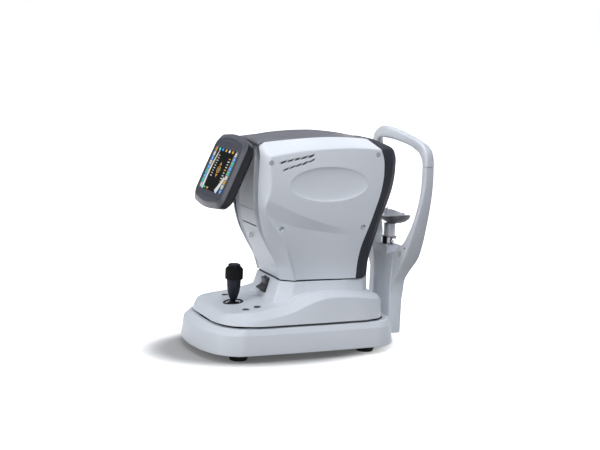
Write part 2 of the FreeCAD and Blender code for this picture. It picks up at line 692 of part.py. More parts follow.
# patient-side cover by height: z, side x and y, bevel x and y, back x and y
BACK = ((143.5, 76, 83, 70, 102, 50, 121), (176, 78.5, 84, 71, 103, 50, 123.5),
        (203, 81, 88, 72, 108.5, 50, 131),
        (245, 84, 102, 72.5, 122, 50, 143), (284, 85, 115.5, 72.5, 136, 50, 158.5),
        (314, 85.5, 124.5, 72.5, 146, 50, 168), (335, 85.5, 128.5, 72.5, 151.5, 50, 172),
        (362, 85.5, 129, 72.5, 153.5, 50, 173.5), (382, 84, 126, 72, 151.5, 50, 172),
        (396, 80, 120, 69, 143, 49, 164.5), (405, 73, 114, 64, 132, 46, 149),
        (412, 63.2, 110, 58, 119, 44, 128))
# operator-side cover by height: z, centre y, y at its outer edge, half-width of the centre
FRONT = ((143.5, -71, -71, 40), (176, -81, -79, 39), (203, -95, -87, 38), (235, -111, -100, 38),
         (272, -121, -107, 38), (300, -123, -109, 38), (357, -124, -110, 38), (390, -124, -112, 38),
         (403, -123.5, -114, 38))
# top cover along Y: y, half-width, edge z, crown z
TOP = ((-124, 60, 406, 412), (-79, 60, 410, 419), (-16, 60, 413, 424.5), (27, 60, 413.5, 424.5),
       (60, 60, 413, 420),
       (94, 60, 412, 415.5), (112, 58, 411, 413.5), (126.5, 43, 409.5, 411.5))


# screws of a side shell: y, z and the shell's x there
SHELL_SCREWS = ((-109.2, 372.5, 84.2), (114.3, 386.4, 83.4), (-80.1, 245, 83.6), (89.8, 245, 84.0))


def side_shell(name, side):
    """One side of the head: a strip with a bevelled front edge, lofted from the bottom to the top."""
    thick = value("shell")
    wires = []
    for z, front_x, front_y, bevel_x, bevel_y, rear_x, rear_y in SIDE:
        strip = [(front_x, front_y), (bevel_x, bevel_y), (rear_x, rear_y - 0.4),
                 (rear_x - thick, rear_y - 0.4), (bevel_x - thick, bevel_y + 1),
                 (front_x - 0.5, front_y + thick + 1)]
        wires.append(polygon([Vector(side * x, y, z) for x, y in strip]))
    shell = feature(name + "_moulding", loft(wires))
    turn = ALONG["x"] if side > 0 else ALONG["x"].inverted()
    holes = []
    for i, (y, z, x) in enumerate(SHELL_SCREWS):
        hole = cylinder(f"{name}_screw_hole_{i}", 4.8, 40, (0, 0, 0))
        holes.append(place(hole, (side * (x - 20), y, z), turn))
    return cut(name, shell, holes)


def patient_cover():
    thick = value("shell")
    wires = []
    for z, side_x, side_y, bevel_x, bevel_y, back_x, back_y in BACK:
        half = [(side_x, side_y), (bevel_x, bevel_y), (back_x, back_y)]
        inner = [(side_x - thick, side_y), (bevel_x - thick, bevel_y - 1), (back_x - 1.5, back_y - thick)]
        ring = half + [(-x, y) for x, y in reversed(half)] + [(-x, y) for x, y in inner]
        ring += [(x, y) for x, y in reversed(inner)]
        wires.append(polygon([Vector(x, y, z) for x, y in ring]))
    shell = feature("patient_cover_moulding", loft(wires))
    window = cylinder("patient_cover_window", 36.3, 40, (0, 150, "optic_height"), "y")
    return cut("patient_cover", shell, [window])


def front_cover():
    """Operator-side cover: a printer door opening, a button hole and slots for the monitor hinge."""
    thick = value("shell")
    wires = []
    for z, centre_y, edge_y, half in FRONT:
        edge = 55.2 if z < 150 else 57
        strip = [(edge, edge_y), (half, centre_y), (-half, centre_y), (-edge, edge_y),
                 (-edge, edge_y + thick), (-half, centre_y + thick), (half, centre_y + thick),
                 (edge, edge_y + thick)]
        wires.append(polygon([Vector(x, y, z) for x, y in strip]))
    shell = feature("front_cover_moulding", loft(wires))
    door = box("door_opening", (-35, -140, 244.6), (70, 50, 32.9))
    button = cylinder("release_hole", 4.9, 60, (-12, -140, 220), "y")
    hinge = box("hinge_opening", (-27, -140, 380), (54, 50, 12))
    return cut("front_cover", shell, [door, button, hinge])


def top_cover():
    wires = []
    for y, half, edge_z, crown in TOP:
        lip = [(half, edge_z), (half - 22, crown), (-half + 22, crown), (-half, edge_z),
               (-half + 4, edge_z - 2),
               (-half + 23, crown - 3.5), (half - 23, crown - 3.5), (half - 4, edge_z - 2)]
        wires.append(polygon([Vector(x, y, z) for x, z in lip]))
    return feature("top_cover", loft(wires))


def lift_sleeve():
    """Dark sleeve under the head that closes the neck while the head is raised."""
    low = 96.0
    high = value("head_bottom") - 0.2
    outside = loft([neck_plan(4.2, low, 72, 76, 126), neck_plan(4.2, high, 72, 76, 126)])
    inside = loft([neck_plan(6.2, low - 1, 72, 76, 126), neck_plan(6.2, high + 1, 72, 76, 126)])
    return feature("lift_sleeve", outside.cut(inside))


def head_chassis():
    """Aluminium frame: a floor, two cheeks, guide bores and the lift nut."""
    floor = box("head_floor", (-60, -58, 146), (120, 158, 4))
    rim = box("head_floor_rim", (-66, -40, 144), (132, 120, 3))
    cheeks = [box(f"head_cheek_{i}", (x, -50, 149), (3, 140, 210)) for i, x in enumerate((-58, 55))]
    hubs = [cylinder(f"guide_hub_{i}", 11, 34, (side * value("guide_offset_x"), "lift_y", 149))
            for i, side in enumerate(MIRRORED)]
    nut = cylinder("lift_nut", 10, 22, (0, "lift_y", 149))
    bridge = box("optics_bridge", (-57, 40, 296), (114, 22, 10))
    blank = fuse("head_chassis_blank", [floor, rim] + cheeks + hubs + [nut, bridge])
    bores = [cylinder(f"guide_hub_bore_{i}", "guide_bore", 60,
                      (side * value("guide_offset_x"), "lift_y", 140))
             for i, side in enumerate(MIRRORED)]
    bores.append(cylinder("lift_nut_hole", "lift_nut_bore", 60, (0, "lift_y", 140)))
    return cut("head_chassis", blank, bores)


def optics_barrel():
    """Measuring optics: a stepped barrel on the optical axis with a camera at its far end."""
    return turned("optics_barrel", [
        (0, 0), (16, 0), (16, 30), (26, 30), (26, 110), (32, 110), (32, 176), (19, 176), (19, 120), (0, 120)],
        (0, -12, "optic_height"), ALONG["y"])


def mire_ring():
    """Ring of lights round the window."""
    return turned("mire_ring", [(22.2, 0), (36, 0), (36, 8), (34, 9.5), (24, 5.5), (22.2, 5)],
                  (0, 164.2, "optic_height"), ALONG["y"])


def measuring_window():
    return turned("measuring_window", [(0, 0), (22, 0), (22, 3), (0, 4)], (0, 164.4, "optic_height"),
                  ALONG["y"])


def main_board():
    parts = [box("main_board_laminate", (60, -40, 180), (1.6, 110, 130)),
             box("main_processor", (61, 0, 240), (3, 28, 28)),
             box("main_heatsink", (61, 4, 290), (10, 30, 14)),
             box("main_connector", (61, -34, 200), (7, 8, 50)),
             box("main_memory", (61, 40, 210), (2.5, 20, 30))]
    return fuse("main_board", parts)


def printer_body():
    """Thermal printer behind the door: a cradle for the roll and a print head above the slot."""
    cradle = box("printer_case", (-34, -107, 240), (68, 39, 76))
    well = box("printer_well", (-30.5, -130, 246), (61, 58, 68))
    case = cut("printer_case_open", cradle, [well])
    head = box("print_head", (-30.6, -76, 247), (61.2, 5, 14))
    stubs = [cylinder(f"roll_stub_{i}", "core_radius-0.05", 5, (x, "roll_y", "roll_z"), "x")
             for i, x in enumerate((-31.5, 26.5))]
    return fuse("printer_body", [case, head] + stubs)


def paper_roll():
    return turned("paper_roll", [("core_radius", 0), ("paper_radius", 0), ("paper_radius", 57),
                                 ("core_radius", 57)],
                  ("-paper_half_width", "roll_y", "roll_z"), ALONG["x"])


def printer_door():
    """Door on a barrel at its lower edge; the paper leaves through the slot under the barrel."""
    half = value("door_half_width")
    sections = [polygon([Vector(-half, y, z), Vector(half, y, z), Vector(half, y + 2.8, z),
                         Vector(-half, y + 2.8, z)])
                for y, z in ((-114, 247), (-121.3, 277))]
    barrel = cylinder("door_barrel", 1.4, "2*door_half_width", ("-door_half_width", -112.6, 247.5), "x")
    return fuse("printer_door", [feature("door_plate", loft(sections)), barrel])


def release_button():
    return turned("release_button", [(0, 0), (6, 0), (6, 1.5), (4.5, 1.5), (4.5, 16), (3.7, 17), (0, 17)],
                  (-12, -94.5, 220), ALONG["y"].inverted())


def shell_screws():
    """Six flush and recessed screws that hold the side shells."""
    screws = []
    for side in MIRRORED:
        for y, z, x in SHELL_SCREWS:
            screws.append(turned(f"shell_screw_{len(screws)}",
                                 [(0, 0), (2, 0), (2, 7), (4.5, 7), (4.5, 9), (0, 9)],
                                 (side * (x - 8.8), y, z), ALONG["x"] if side > 0 else ALONG["x"].inverted()))
    return group("shell_screws", screws)


def monitor_bracket():
    """Hinge arms on the head: two knuckles with a pin through the monitor's own knuckle."""
    arms = [box(f"bracket_arm_{i}", (x, -128.5, 382.5), (6, 30, 7)) for i, x in enumerate((-26, 20))]
    knuckles = [cylinder(f"bracket_knuckle_{i}", 4.1, 6, (x, "hinge_y", "hinge_z"), "x")
                for i, x in enumerate((-26, 20))]
    pin = cylinder("bracket_pin", "hinge_pin_radius", 46, (-23, "hinge_y", "hinge_z"), "x")
    plate = box("bracket_plate", (-30, -101, 376), (60, 3, 20))
    return fuse("monitor_bracket", arms + knuckles + [pin, plate])


# ---- monitor --------------------------------------------------------------------------------------

SCREEN_TURN = Rotation(Vector(1, 0, 0), 90 - SIZES["monitor_tilt"])
SCREEN_PLACE = Placement(Vector(0, SIZES["lcd_y"], SIZES["lcd_z"]), SCREEN_TURN)


def monitor_plan(inset, height):
    """Outline of the monitor seen from the front: bowed top and bottom, rounded corners."""
    half = value("monitor_half_width") - inset
    tall = value("monitor_half_height") - inset
    corner = value("monitor_corner_height") - inset
    ring = [(0, -tall, 200), (half - 2, -corner, 14), (half, 0, 300), (half - 2, corner, 14),
            (0, tall, 200), (-half + 2, corner, 14), (-half, 0, 300), (-half + 2, -corner, 14)]
    return rounded_wire(ring, height)


def monitor_bezel():
    frame = loft([monitor_plan(0, -12), monitor_plan(0, -3), monitor_plan(4, 0)])
    frame = frame.cut(loft([monitor_plan(3, -13), monitor_plan(3, -4)]))
    wide = value("lcd_width")
    tall = value("lcd_height")
    frame = frame.cut(Part.makeBox(wide, tall, 10, Vector(-wide / 2, -tall / 2, -6)))
    obj = feature("monitor_bezel", frame)
    obj.Placement = SCREEN_PLACE
    return obj


def monitor_back():
    """Rear tray of the monitor, with the hinge knuckle behind its upper half."""
    tray = loft([monitor_plan(13, -30), monitor_plan(8, -26), monitor_plan(0, -20), monitor_plan(0, -12.2)])
    tray = tray.cut(loft([monitor_plan(16, -27.5), monitor_plan(11, -24), monitor_plan(3, -19),
                          monitor_plan(3, -11)]))
    tray.Placement = SCREEN_PLACE
    lug = Part.makeBox(39, 6.5, 9, Vector(-19.5, value("hinge_y") - 7, value("hinge_z") - 4.5))
    knuckle = Part.makeCylinder(4.1, 39, Vector(-19.5, value("hinge_y"), value("hinge_z")), Vector(1, 0, 0))
    bore = Part.makeCylinder(value("hinge_pin_radius") + 0.05, 60,
                             Vector(-30, value("hinge_y"), value("hinge_z")),
                             Vector(1, 0, 0))
    hollow = loft([monitor_plan(15, -27.6), monitor_plan(10, -24), monitor_plan(3, -19),
                   monitor_plan(3, -11)])
    hollow.Placement = SCREEN_PLACE
    return feature("monitor_back", tray.fuse(lug).fuse(knuckle).cut(bore).cut(hollow))


def lcd_panel():
    """Display module, tucked behind the edges of the bezel's opening."""
    wide = value("lcd_width") + 6
    tall = value("lcd_height") + 6
    module = doc.addObject("Part::Box", "lcd_panel")
    bind(module, "Length", "lcd_width+6")
    bind(module, "Width", "lcd_height+6")
    module.Height = 4
    module.Placement = SCREEN_PLACE.multiply(Placement(Vector(-wide / 2, -tall / 2, -8.2), Rotation()))
    return module


NODES = [base_cover(), base_plate(), rubber_feet(), base_screws(), y_rails(), mains_inlet(), power_board(),
         headrest_column(), headrest_arm("headrest_arm_right", 1), headrest_arm("headrest_arm_left", -1),
         forehead_arch(), forehead_pad(), headrest_screws(), pole_collar(), collar_thumbscrew(), chin_motor(),
         chin_screw(), chin_pole(), chin_cup(), paper_pins(), cross_slide_frame(), slide_bushings(), x_rods(),
         stage_cover(), neck_cover(), stage_chassis(), lift_guides(), lift_motor(), lift_screw(),
         button_boards(),
         rocker(), joystick_socket(), gimbal_ring(), joystick_grip(), height_ring(), joystick_button(),
         side_shell("side_shell_right", 1), side_shell("side_shell_left", -1), patient_cover(), front_cover(),
         top_cover(), head_chassis(), optics_barrel(), mire_ring(), measuring_window(), main_board(),
         printer_body(), paper_roll(), printer_door(), release_button(), shell_screws(), monitor_bracket(),
         monitor_bezel(), monitor_back(), lcd_panel(), lift_sleeve()]
NODES += [deck_button(name) for name in DECK_BUTTONS]

doc.recompute()
for obj in doc.Objects:
    if "Invalid" in obj.State or "Error" in obj.State:
        raise RuntimeError(f"{obj.Name} failed to compute: {obj.State}")
os.makedirs("parts", exist_ok=True)
for node in NODES:
    shape = node.Shape
    if shape.isNull() or not shape.isValid():
        raise RuntimeError(f"{node.Label} has no valid shape")
    print(f"{node.Label:22s} solids {len(shape.Solids):3d}  volume {shape.Volume / 1000:9.2f} cm3")
    shape.exportStep(f"parts/{node.Label}.step")
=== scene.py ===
"""Looks of the autorefractor: finished covers, display, headrest and materials round the CAD frame."""
import bmesh
import bpy
import json
import math
import numpy as np
from mathutils import Matrix, Vector


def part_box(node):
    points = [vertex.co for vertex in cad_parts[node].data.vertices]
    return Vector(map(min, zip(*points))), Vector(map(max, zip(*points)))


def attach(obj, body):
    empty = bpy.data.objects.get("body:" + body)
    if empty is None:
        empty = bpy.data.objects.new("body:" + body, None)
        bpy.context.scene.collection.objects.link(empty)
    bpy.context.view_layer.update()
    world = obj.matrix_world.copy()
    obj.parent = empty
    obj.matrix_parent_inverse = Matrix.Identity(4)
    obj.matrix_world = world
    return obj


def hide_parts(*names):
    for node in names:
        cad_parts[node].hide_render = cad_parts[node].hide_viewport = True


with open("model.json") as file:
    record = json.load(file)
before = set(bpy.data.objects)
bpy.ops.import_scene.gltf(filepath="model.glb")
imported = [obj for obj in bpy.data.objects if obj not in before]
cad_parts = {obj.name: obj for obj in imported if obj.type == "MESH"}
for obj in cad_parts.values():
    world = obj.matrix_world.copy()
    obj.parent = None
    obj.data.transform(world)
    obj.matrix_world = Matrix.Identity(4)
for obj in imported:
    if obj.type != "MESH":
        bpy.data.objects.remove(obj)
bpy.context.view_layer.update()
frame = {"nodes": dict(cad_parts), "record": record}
MM = 0.001
SIDE_NAMES = ((1, "right"), (-1, "left"))
SQUARE = ((-1, -1), (1, -1), (1, 1), (-1, 1))


# ==== small tools ===================================================================================

def node_box(node):
    """Lowest and highest corner of a CAD node, in millimetres."""
    low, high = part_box(node)
    return np.array(low) / MM, np.array(high) / MM


def node_middle(node):
    return sum(node_box(node)) / 2


def curve_through(knots, values):
    """Smooth function through a table: a cubic piece between each two knots."""
    knots = np.array(knots, float)
    values = np.array(values, float)
    slopes = np.gradient(values, knots)

    def at(x):
        x = np.clip(x, knots[0], knots[-1])
        i = np.clip(np.searchsorted(knots, x) - 1, 0, len(knots) - 2)
        span = knots[i + 1] - knots[i]
        u = (x - knots[i]) / span
        return ((2 * u**3 - 3 * u**2 + 1) * values[i] + (u**3 - 2 * u**2 + u) * span * slopes[i]
                + (3 * u**2 - 2 * u**3) * values[i + 1] + (u**3 - u**2) * span * slopes[i + 1])
    return at


def smooth_step(low, high, x):
    u = np.clip((x - low) / (high - low), 0, 1)
    return u * u * (3 - 2 * u)


def soft_positive(x, width):
    """max(x, 0) with its corner rounded over about width."""
    return (x + np.sqrt(x * x + width * width)) / 2


def rounded_path(corners, closed=True, steps=6):
    """Points of a path whose corners (x, y, radius) are arcs; a radius is cut to fit its sides."""
    count = len(corners)
    spots = [np.array(c[:2], float) for c in corners]
    points = []
    for i, corner in enumerate(corners):
        radius = corner[2]
        if not closed and i in (0, count - 1) or radius <= 0:
            points.append(spots[i])
            continue
        back = spots[i - 1] - spots[i]
        ahead = spots[(i + 1) % count] - spots[i]
        back_length, ahead_length = np.linalg.norm(back), np.linalg.norm(ahead)
        back, ahead = back / back_length, ahead / ahead_length
        half = math.acos(max(-1, min(1, float(back @ ahead)))) / 2
        reach = min(radius / math.tan(half), 0.48 * min(back_length, ahead_length))
        start, stop = spots[i] + back * reach, spots[i] + ahead * reach
        for step in range(steps + 1):
            u = step / steps
            weight = math.sin(half)
            share = (1 - u) ** 2, 2 * u * (1 - u) * weight, u * u
            points.append((share[0] * start + share[1] * spots[i] + share[2] * stop) / sum(share))
    return np.array(points)


def open_path(corners, steps=6):
    return rounded_path(corners, closed=False, steps=steps)


def rounded_box(low, high, radius):
    """Rectangle between two corners, all four of them rounded."""
    return rounded_path([(*low, radius), (high[0], low[1], radius), (*high, radius), (low[0], high[1], radius)])


def mirrored_corners(right):
    """Corners of the right half, in order, followed by their mirror images in reverse."""
    left = [(-x, y, r) for x, y, r in reversed(right) if abs(x) > 1e-6]
    return list(right) + left


def mirrored_path(right, steps):
    """Open path whose right half ends on the middle line, followed by its mirror image."""
    half = open_path(right, steps)
    return np.vstack([half, half[-2::-1] * np.array([-1, 1])])


def at_height(points, z):
    return np.column_stack([points, np.full(len(points), z)])


def at_station(points, y):
    return np.column_stack([points[:, 0], np.full(len(points), y), points[:, 1]])


def across_at(points, x):
    return np.column_stack([np.full(len(points), x), points])


def loft_faces(ring_count, ring_size, closed=True):
    """Quads between rings whose points follow one another."""
    faces = []
    for i in range(ring_count - 1):
        for j in range(ring_size if closed else ring_size - 1):
            a, b = i * ring_size, (i + 1) * ring_size
            k = (j + 1) % ring_size
            faces.append((a + j, a + k, b + k, b + j))
    return faces


def end_faces(rings):
    """The first and the last ring, each as one face."""
    size = len(rings[0])
    return [tuple(range(size)), tuple(range((len(rings) - 1) * size, len(rings) * size))]


def mesh_object(name, points, faces, weld=False):
    """Object from points in millimetres, with its faces turned outwards."""
    mesh = bpy.data.meshes.new(name)
    mesh.from_pydata([tuple(p) for p in np.asarray(points, float) * MM], [], faces)
    tidy = bmesh.new()
    tidy.from_mesh(mesh)
    if weld:
        bmesh.ops.remove_doubles(tidy, verts=tidy.verts, dist=1e-6)
    bmesh.ops.recalc_face_normals(tidy, faces=tidy.faces)
    tidy.to_mesh(mesh)
    tidy.free()
    obj = bpy.data.objects.new(name, mesh)
    bpy.context.scene.collection.objects.link(obj)
    return obj


def smooth_faces(obj, angle):
    """Smooth shading with sharp edges where faces meet at more than an angle in degrees."""
    obj.data.shade_smooth()
    obj.data.set_sharp_from_angle(angle=math.radians(angle))


def new_piece(name, points, faces, body, material, nodes=(), angle=30):
    """Mesh object riding on a body and standing for CAD nodes."""
    obj = mesh_object(name, points, faces, weld=True)
    smooth_faces(obj, angle)
    obj.data.materials.append(material)
    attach(obj, body)
    if nodes:
        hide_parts(*nodes)
    return obj


def loft(name, rings, body, material, nodes=(), closed=True, capped=False, angle=30):
    """Skin through rings of points, each ring closed or open, with or without end faces."""
    faces = loft_faces(len(rings), len(rings[0]), closed)
    if capped:
        faces += end_faces(rings)
    return new_piece(name, np.vstack(rings), faces, body, material, nodes, angle)


def lathe(name, profile, centre, body, material, nodes=(), axis="z", segments=64, angle=30):
    """Turned piece: profile of (radius, distance along the axis) with corner radii."""
    path = open_path(profile, 4)
    turns = np.linspace(0, 2 * math.pi, segments, endpoint=False)
    rings = []
    for radius, along in path:
        ring = np.column_stack([radius * np.cos(turns), radius * np.sin(turns), np.full(segments, along)])
        if axis == "x":
            ring = ring[:, [2, 0, 1]]
        elif axis == "y":
            ring = ring[:, [1, 2, 0]]
        rings.append(ring + np.array(centre, float))
    return loft(name, rings, body, material, nodes, angle=angle)


def add_bevel(obj, width, segments=3, angle=35):
    bevel = obj.modifiers.new("edge", "BEVEL")
    bevel.width = width * MM
    bevel.segments = segments
    bevel.limit_method = "ANGLE"
    bevel.angle_limit = math.radians(angle)
    bevel.harden_normals = False


def add_walls(obj, thickness):
    """Give an open skin a wall, inwards from its outer face."""
    wall = obj.modifiers.new("wall", "SOLIDIFY")
    wall.thickness = thickness * MM
    wall.offset = -1
    wall.use_even_offset = True


def apply_modifiers(obj):
    """Replace the mesh by what its modifiers make of it."""
    bpy.context.view_layer.update()
    graph = bpy.context.evaluated_depsgraph_get()
    mesh = bpy.data.meshes.new_from_object(obj.evaluated_get(graph))
    obj.modifiers.clear()
    obj.data = mesh


def carve(obj, cutters, angle=30):
    """Cut holes with closed meshes, then throw the cutters away."""
    for cutter in cutters:
        knife = obj.modifiers.new("hole", "BOOLEAN")
        knife.operation = "DIFFERENCE"
        knife.solver = "MANIFOLD"
        knife.object = cutter
    apply_modifiers(obj)
    for cutter in cutters:
        bpy.data.objects.remove(cutter)
    smooth_faces(obj, angle)


def cutter_from(rings):
    """Closed body through rings, for carve."""
    return mesh_object("cutter", np.vstack(rings), loft_faces(len(rings), len(rings[0])) + end_faces(rings))


def prism_cutter(outline, low, high, axis):
    """Closed prism of a 2-D outline between two distances along an axis."""
    place = {"x": across_at, "y": at_station, "z": at_height}[axis]
    return cutter_from([place(outline, low), place(outline, high)])


def round_cutter(centre, radius, low, high, axis, segments=48):
    turns = np.linspace(0, 2 * math.pi, segments, endpoint=False)
    outline = np.column_stack([centre[0] + radius * np.cos(turns), centre[1] + radius * np.sin(turns)])
    return prism_cutter(outline, low, high, axis)


def box_cutter(low, high, radius=0.0):
    """Block between two corners, its edges along Y rounded."""
    return prism_cutter(rounded_box((low[0], low[2]), (high[0], high[2]), radius), low[1], high[1], "y")


# ==== materials =====================================================================================

def set_inputs(tree, node, inputs):
    """Set a node's inputs: a socket is linked to, and anything else is a fixed value."""
    for name, value in inputs.items():
        if isinstance(value, bpy.types.NodeSocket):
            tree.links.new(value, node.inputs[name])
        else:
            node.inputs[name].default_value = value
    return node


def add_node(tree, kind, inputs, **settings):
    node = tree.nodes.new("ShaderNode" + kind)
    for name, value in settings.items():
        setattr(node, name, value)
    return set_inputs(tree, node, inputs)


def plastic(name, colour, roughness, grain=0.04, grain_size=1400.0, tone=0.04, coat=0.0, metallic=0.0,
            specular=0.5):
    """Moulded surface: faint tone changes, uneven gloss and a fine grain, all from noise."""
    material = bpy.data.materials.new(name)
    material.use_nodes = True
    tree = material.node_tree
    place = tree.nodes.new("ShaderNodeTexCoord").outputs["Object"]
    broad = add_node(tree, "TexNoise", {"Vector": place, "Scale": 18.0, "Detail": 3.0}).outputs["Fac"]
    fine = add_node(tree, "TexNoise", {"Vector": place, "Scale": grain_size, "Detail": 2.0}).outputs["Fac"]
    tones = {"A": (*[c * (1 - tone) for c in colour], 1), "B": (*[min(1, c * (1 + tone)) for c in colour], 1),
             "Factor": broad}
    gloss = add_node(tree, "MapRange", {"To Min": roughness - 0.05, "To Max": roughness + 0.07, "Value": broad})
    bump = add_node(tree, "Bump", {"Strength": grain, "Distance": 0.0002, "Height": fine})
    set_inputs(tree, tree.nodes["Principled BSDF"], {
        "Metallic": metallic, "Specular IOR Level": specular, "Coat Weight": coat, "Coat Roughness": 0.12,
        "Base Color": add_node(tree, "Mix", tones, data_type="RGBA").outputs["Result"],
        "Roughness": gloss.outputs["Result"], "Normal": bump.outputs["Normal"]})
    return material


WHITE = plastic("white_moulding", (0.74, 0.775, 0.83), 0.42, grain=0.05, tone=0.012)
WHITE_GLOSS = plastic("white_polished", (0.80, 0.82, 0.85), 0.2, grain=0.02, tone=0.015, coat=0.4)
DARK = plastic("dark_moulding", (0.053, 0.055, 0.070), 0.6, grain=0.08, tone=0.06, specular=0.06)
TOP_GREY = plastic("slate_moulding", (0.165, 0.162, 0.187), 0.4, grain=0.08, tone=0.05, specular=0.4)
MONITOR_GREY = plastic("monitor_front", (0.056, 0.058, 0.076), 0.36, grain=0.06, tone=0.05, specular=0.35)
# painted highlight: the monitor's edge band is the face's dark grey made lighter, standing for light caught on
# the bevel
MONITOR_PAINTED_HIGHLIGHT = plastic("monitor_bevel_painted_highlight", (0.085, 0.088, 0.108), 0.3, grain=0.03, tone=0.03, specular=0.35)
# painted shade: the cup's underside is darkened because it lies in shade
CUP_PAINTED_SHADE = plastic("cup_underside_painted_shade", (0.17, 0.172, 0.19), 0.42, grain=0.04, specular=0.3)
MONITOR_BLACK = plastic("monitor_shell", (0.010, 0.0105, 0.016), 0.4, grain=0.1, tone=0.08, specular=0.2)
STICK = plastic("stick_moulding", (0.008, 0.009, 0.018), 0.36, grain=0.05, tone=0.1, specular=0.18)
KNURL = plastic("knurled_rubber", (0.004, 0.004, 0.005), 0.55, grain=0.2, specular=0.12)
BUTTON = plastic("button_moulding", (0.05, 0.05, 0.06), 0.4, grain=0.05, specular=0.3)
BLACK = plastic("black_moulding", (0.006, 0.006, 0.007), 0.5, grain=0.12, specular=0.2)
CAP = plastic("screw_cap", (0.42, 0.44, 0.47), 0.4, grain=0.05)
RUBBER = plastic("foot_rubber", (0.008, 0.008, 0.009), 0.75, grain=0.3, grain_size=900, specular=0.2)
PAD = plastic("brow_pad", (0.55, 0.57, 0.61), 0.6, grain=0.2, grain_size=1100)
COLLAR = plastic("collar_steel", (0.25, 0.25, 0.27), 0.16, grain=0.03, metallic=1.0)
ZINC = plastic("zinc_plate", (0.56, 0.56, 0.58), 0.36, grain=0.15, grain_size=260, metallic=1.0)
GROUND = plastic("ground_rod", (0.66, 0.66, 0.68), 0.2, grain=0.05, metallic=1.0)
CHROME = plastic("bright_chrome", (0.8, 0.8, 0.82), 0.12, grain=0.02, metallic=1.0)
BRONZE = plastic("bush_bronze", (0.55, 0.37, 0.17), 0.4, grain=0.2, metallic=1.0)
ALLOY = plastic("cast_alloy_skin", (0.55, 0.56, 0.58), 0.45, grain=0.35, grain_size=700, metallic=1.0)
ANODISED = plastic("black_anodised", (0.02, 0.02, 0.024), 0.4, grain=0.1, metallic=0.6)
MOTOR = plastic("motor_paint", (0.03, 0.03, 0.034), 0.42, grain=0.1)
BOARD = plastic("board_laminate", (0.015, 0.10, 0.04), 0.35, grain=0.1, tone=0.2)
PAPER = plastic("paper_surface", (0.84, 0.84, 0.82), 0.75, grain=0.1, tone=0.02)
DIFFUSER = plastic("mire_frost", (0.8, 0.82, 0.85), 0.5, grain=0.1)
LENS = plastic("window_coating", (0.02, 0.025, 0.045), 0.06, grain=0.0, tone=0.1, coat=0.8)

for node, material in {
        "base_plate": ZINC, "rubber_feet": RUBBER, "base_screws": ZINC, "y_rails": GROUND, "mains_inlet": BLACK,
        "power_board": BOARD, "headrest_screws": ZINC, "chin_motor": MOTOR, "chin_screw": GROUND,
        "paper_pins": CHROME, "cross_slide_frame": ALLOY, "slide_bushings": BRONZE, "x_rods": GROUND,
        "stage_chassis": ZINC, "lift_guides": GROUND, "lift_motor": MOTOR, "lift_screw": GROUND,
        "button_boards": BOARD, "gimbal_ring": CHROME, "head_chassis": ALLOY, "optics_barrel": ANODISED,
        "main_board": BOARD, "printer_body": BLACK, "paper_roll": PAPER, "shell_screws": ZINC,
        "monitor_bracket": ZINC, "lift_sleeve": DARK, "lcd_panel": BLACK, "mire_ring": DIFFUSER,
        "measuring_window": LENS, "forehead_pad": PAD, "pole_collar": COLLAR, "collar_thumbscrew": CHROME,
        "chin_pole": WHITE_GLOSS}.items():
    target = frame["nodes"][node]
    target.data.materials.clear()
    target.data.materials.append(material)


# ==== camera, light and floor =======================================================================

def look_from(azimuth, elevation, target, distance, roll, lens):
    """Camera that looks at a target: azimuth 0 looks along +Y, and roll turns the picture clockwise."""
    a, e = math.radians(azimuth), math.radians(elevation)
    back = Vector((math.sin(a) * math.cos(e), -math.cos(a) * math.cos(e), math.sin(e)))
    right = Vector((math.cos(a), math.sin(a), 0))
    up = back.cross(right)
    turn = Matrix((right, up, back)).transposed() @ Matrix.Rotation(math.radians(roll), 3, "Z")
    camera = bpy.data.objects.new("camera", bpy.data.cameras.new("camera"))
    camera.data.lens = lens
    camera.data.sensor_width = 36.0
    camera.matrix_world = Matrix.Translation(Vector(target) + back * distance) @ turn.to_4x4()
    bpy.context.scene.collection.objects.link(camera)
    bpy.context.scene.camera = camera


look_from(azimuth=65.18, elevation=9.17, target=(0, -0.0069, 0.2385), distance=2.562, roll=2.5, lens=78.0)


def soft_light(name, position, target, size, power, spread):
    lamp = bpy.data.lights.new(name, "AREA")
    lamp.shape = "RECTANGLE"
    lamp.size, lamp.size_y = size
    lamp.energy = power
    lamp.spread = math.radians(spread)
    obj = bpy.data.objects.new(name, lamp)
    obj.location = position
    direction = Vector(target) - Vector(position)
    obj.rotation_euler = direction.to_track_quat("-Z", "Y").to_euler()
    obj.visible_camera = False
    bpy.context.scene.collection.objects.link(obj)


# name, position, target, size, power and spread in degrees
LIGHTS = (("key", (0.25, -0.7, 2.3), (0, 0, 0.2), (1.2, 1.2), 6, 180),
          ("head_box", (0.42, -0.2, 0.85), (0.08, 0, 0.43), (0.35, 0.35), 0.45, 70),
          ("operator_side", (0.45, -2.5, 1.1), (0, 0, 0.25), (1.5, 1.5), 22, 180),
          ("fill", (2.6, -0.9, 1.3), (0, 0, 0.2), (1.6, 1.6), 0.8, 180),
          ("low_box", (0.55, -0.05, 0.05), (0.12, -0.05, 0.045), (0.7, 0.06), 0.055, 35),
          ("rear_rim", (-0.9, 1.5, 1.4), (0, -0.1, 0.05), (0.8, 0.8), 10, 180))
for light in LIGHTS:
    soft_light(*light)


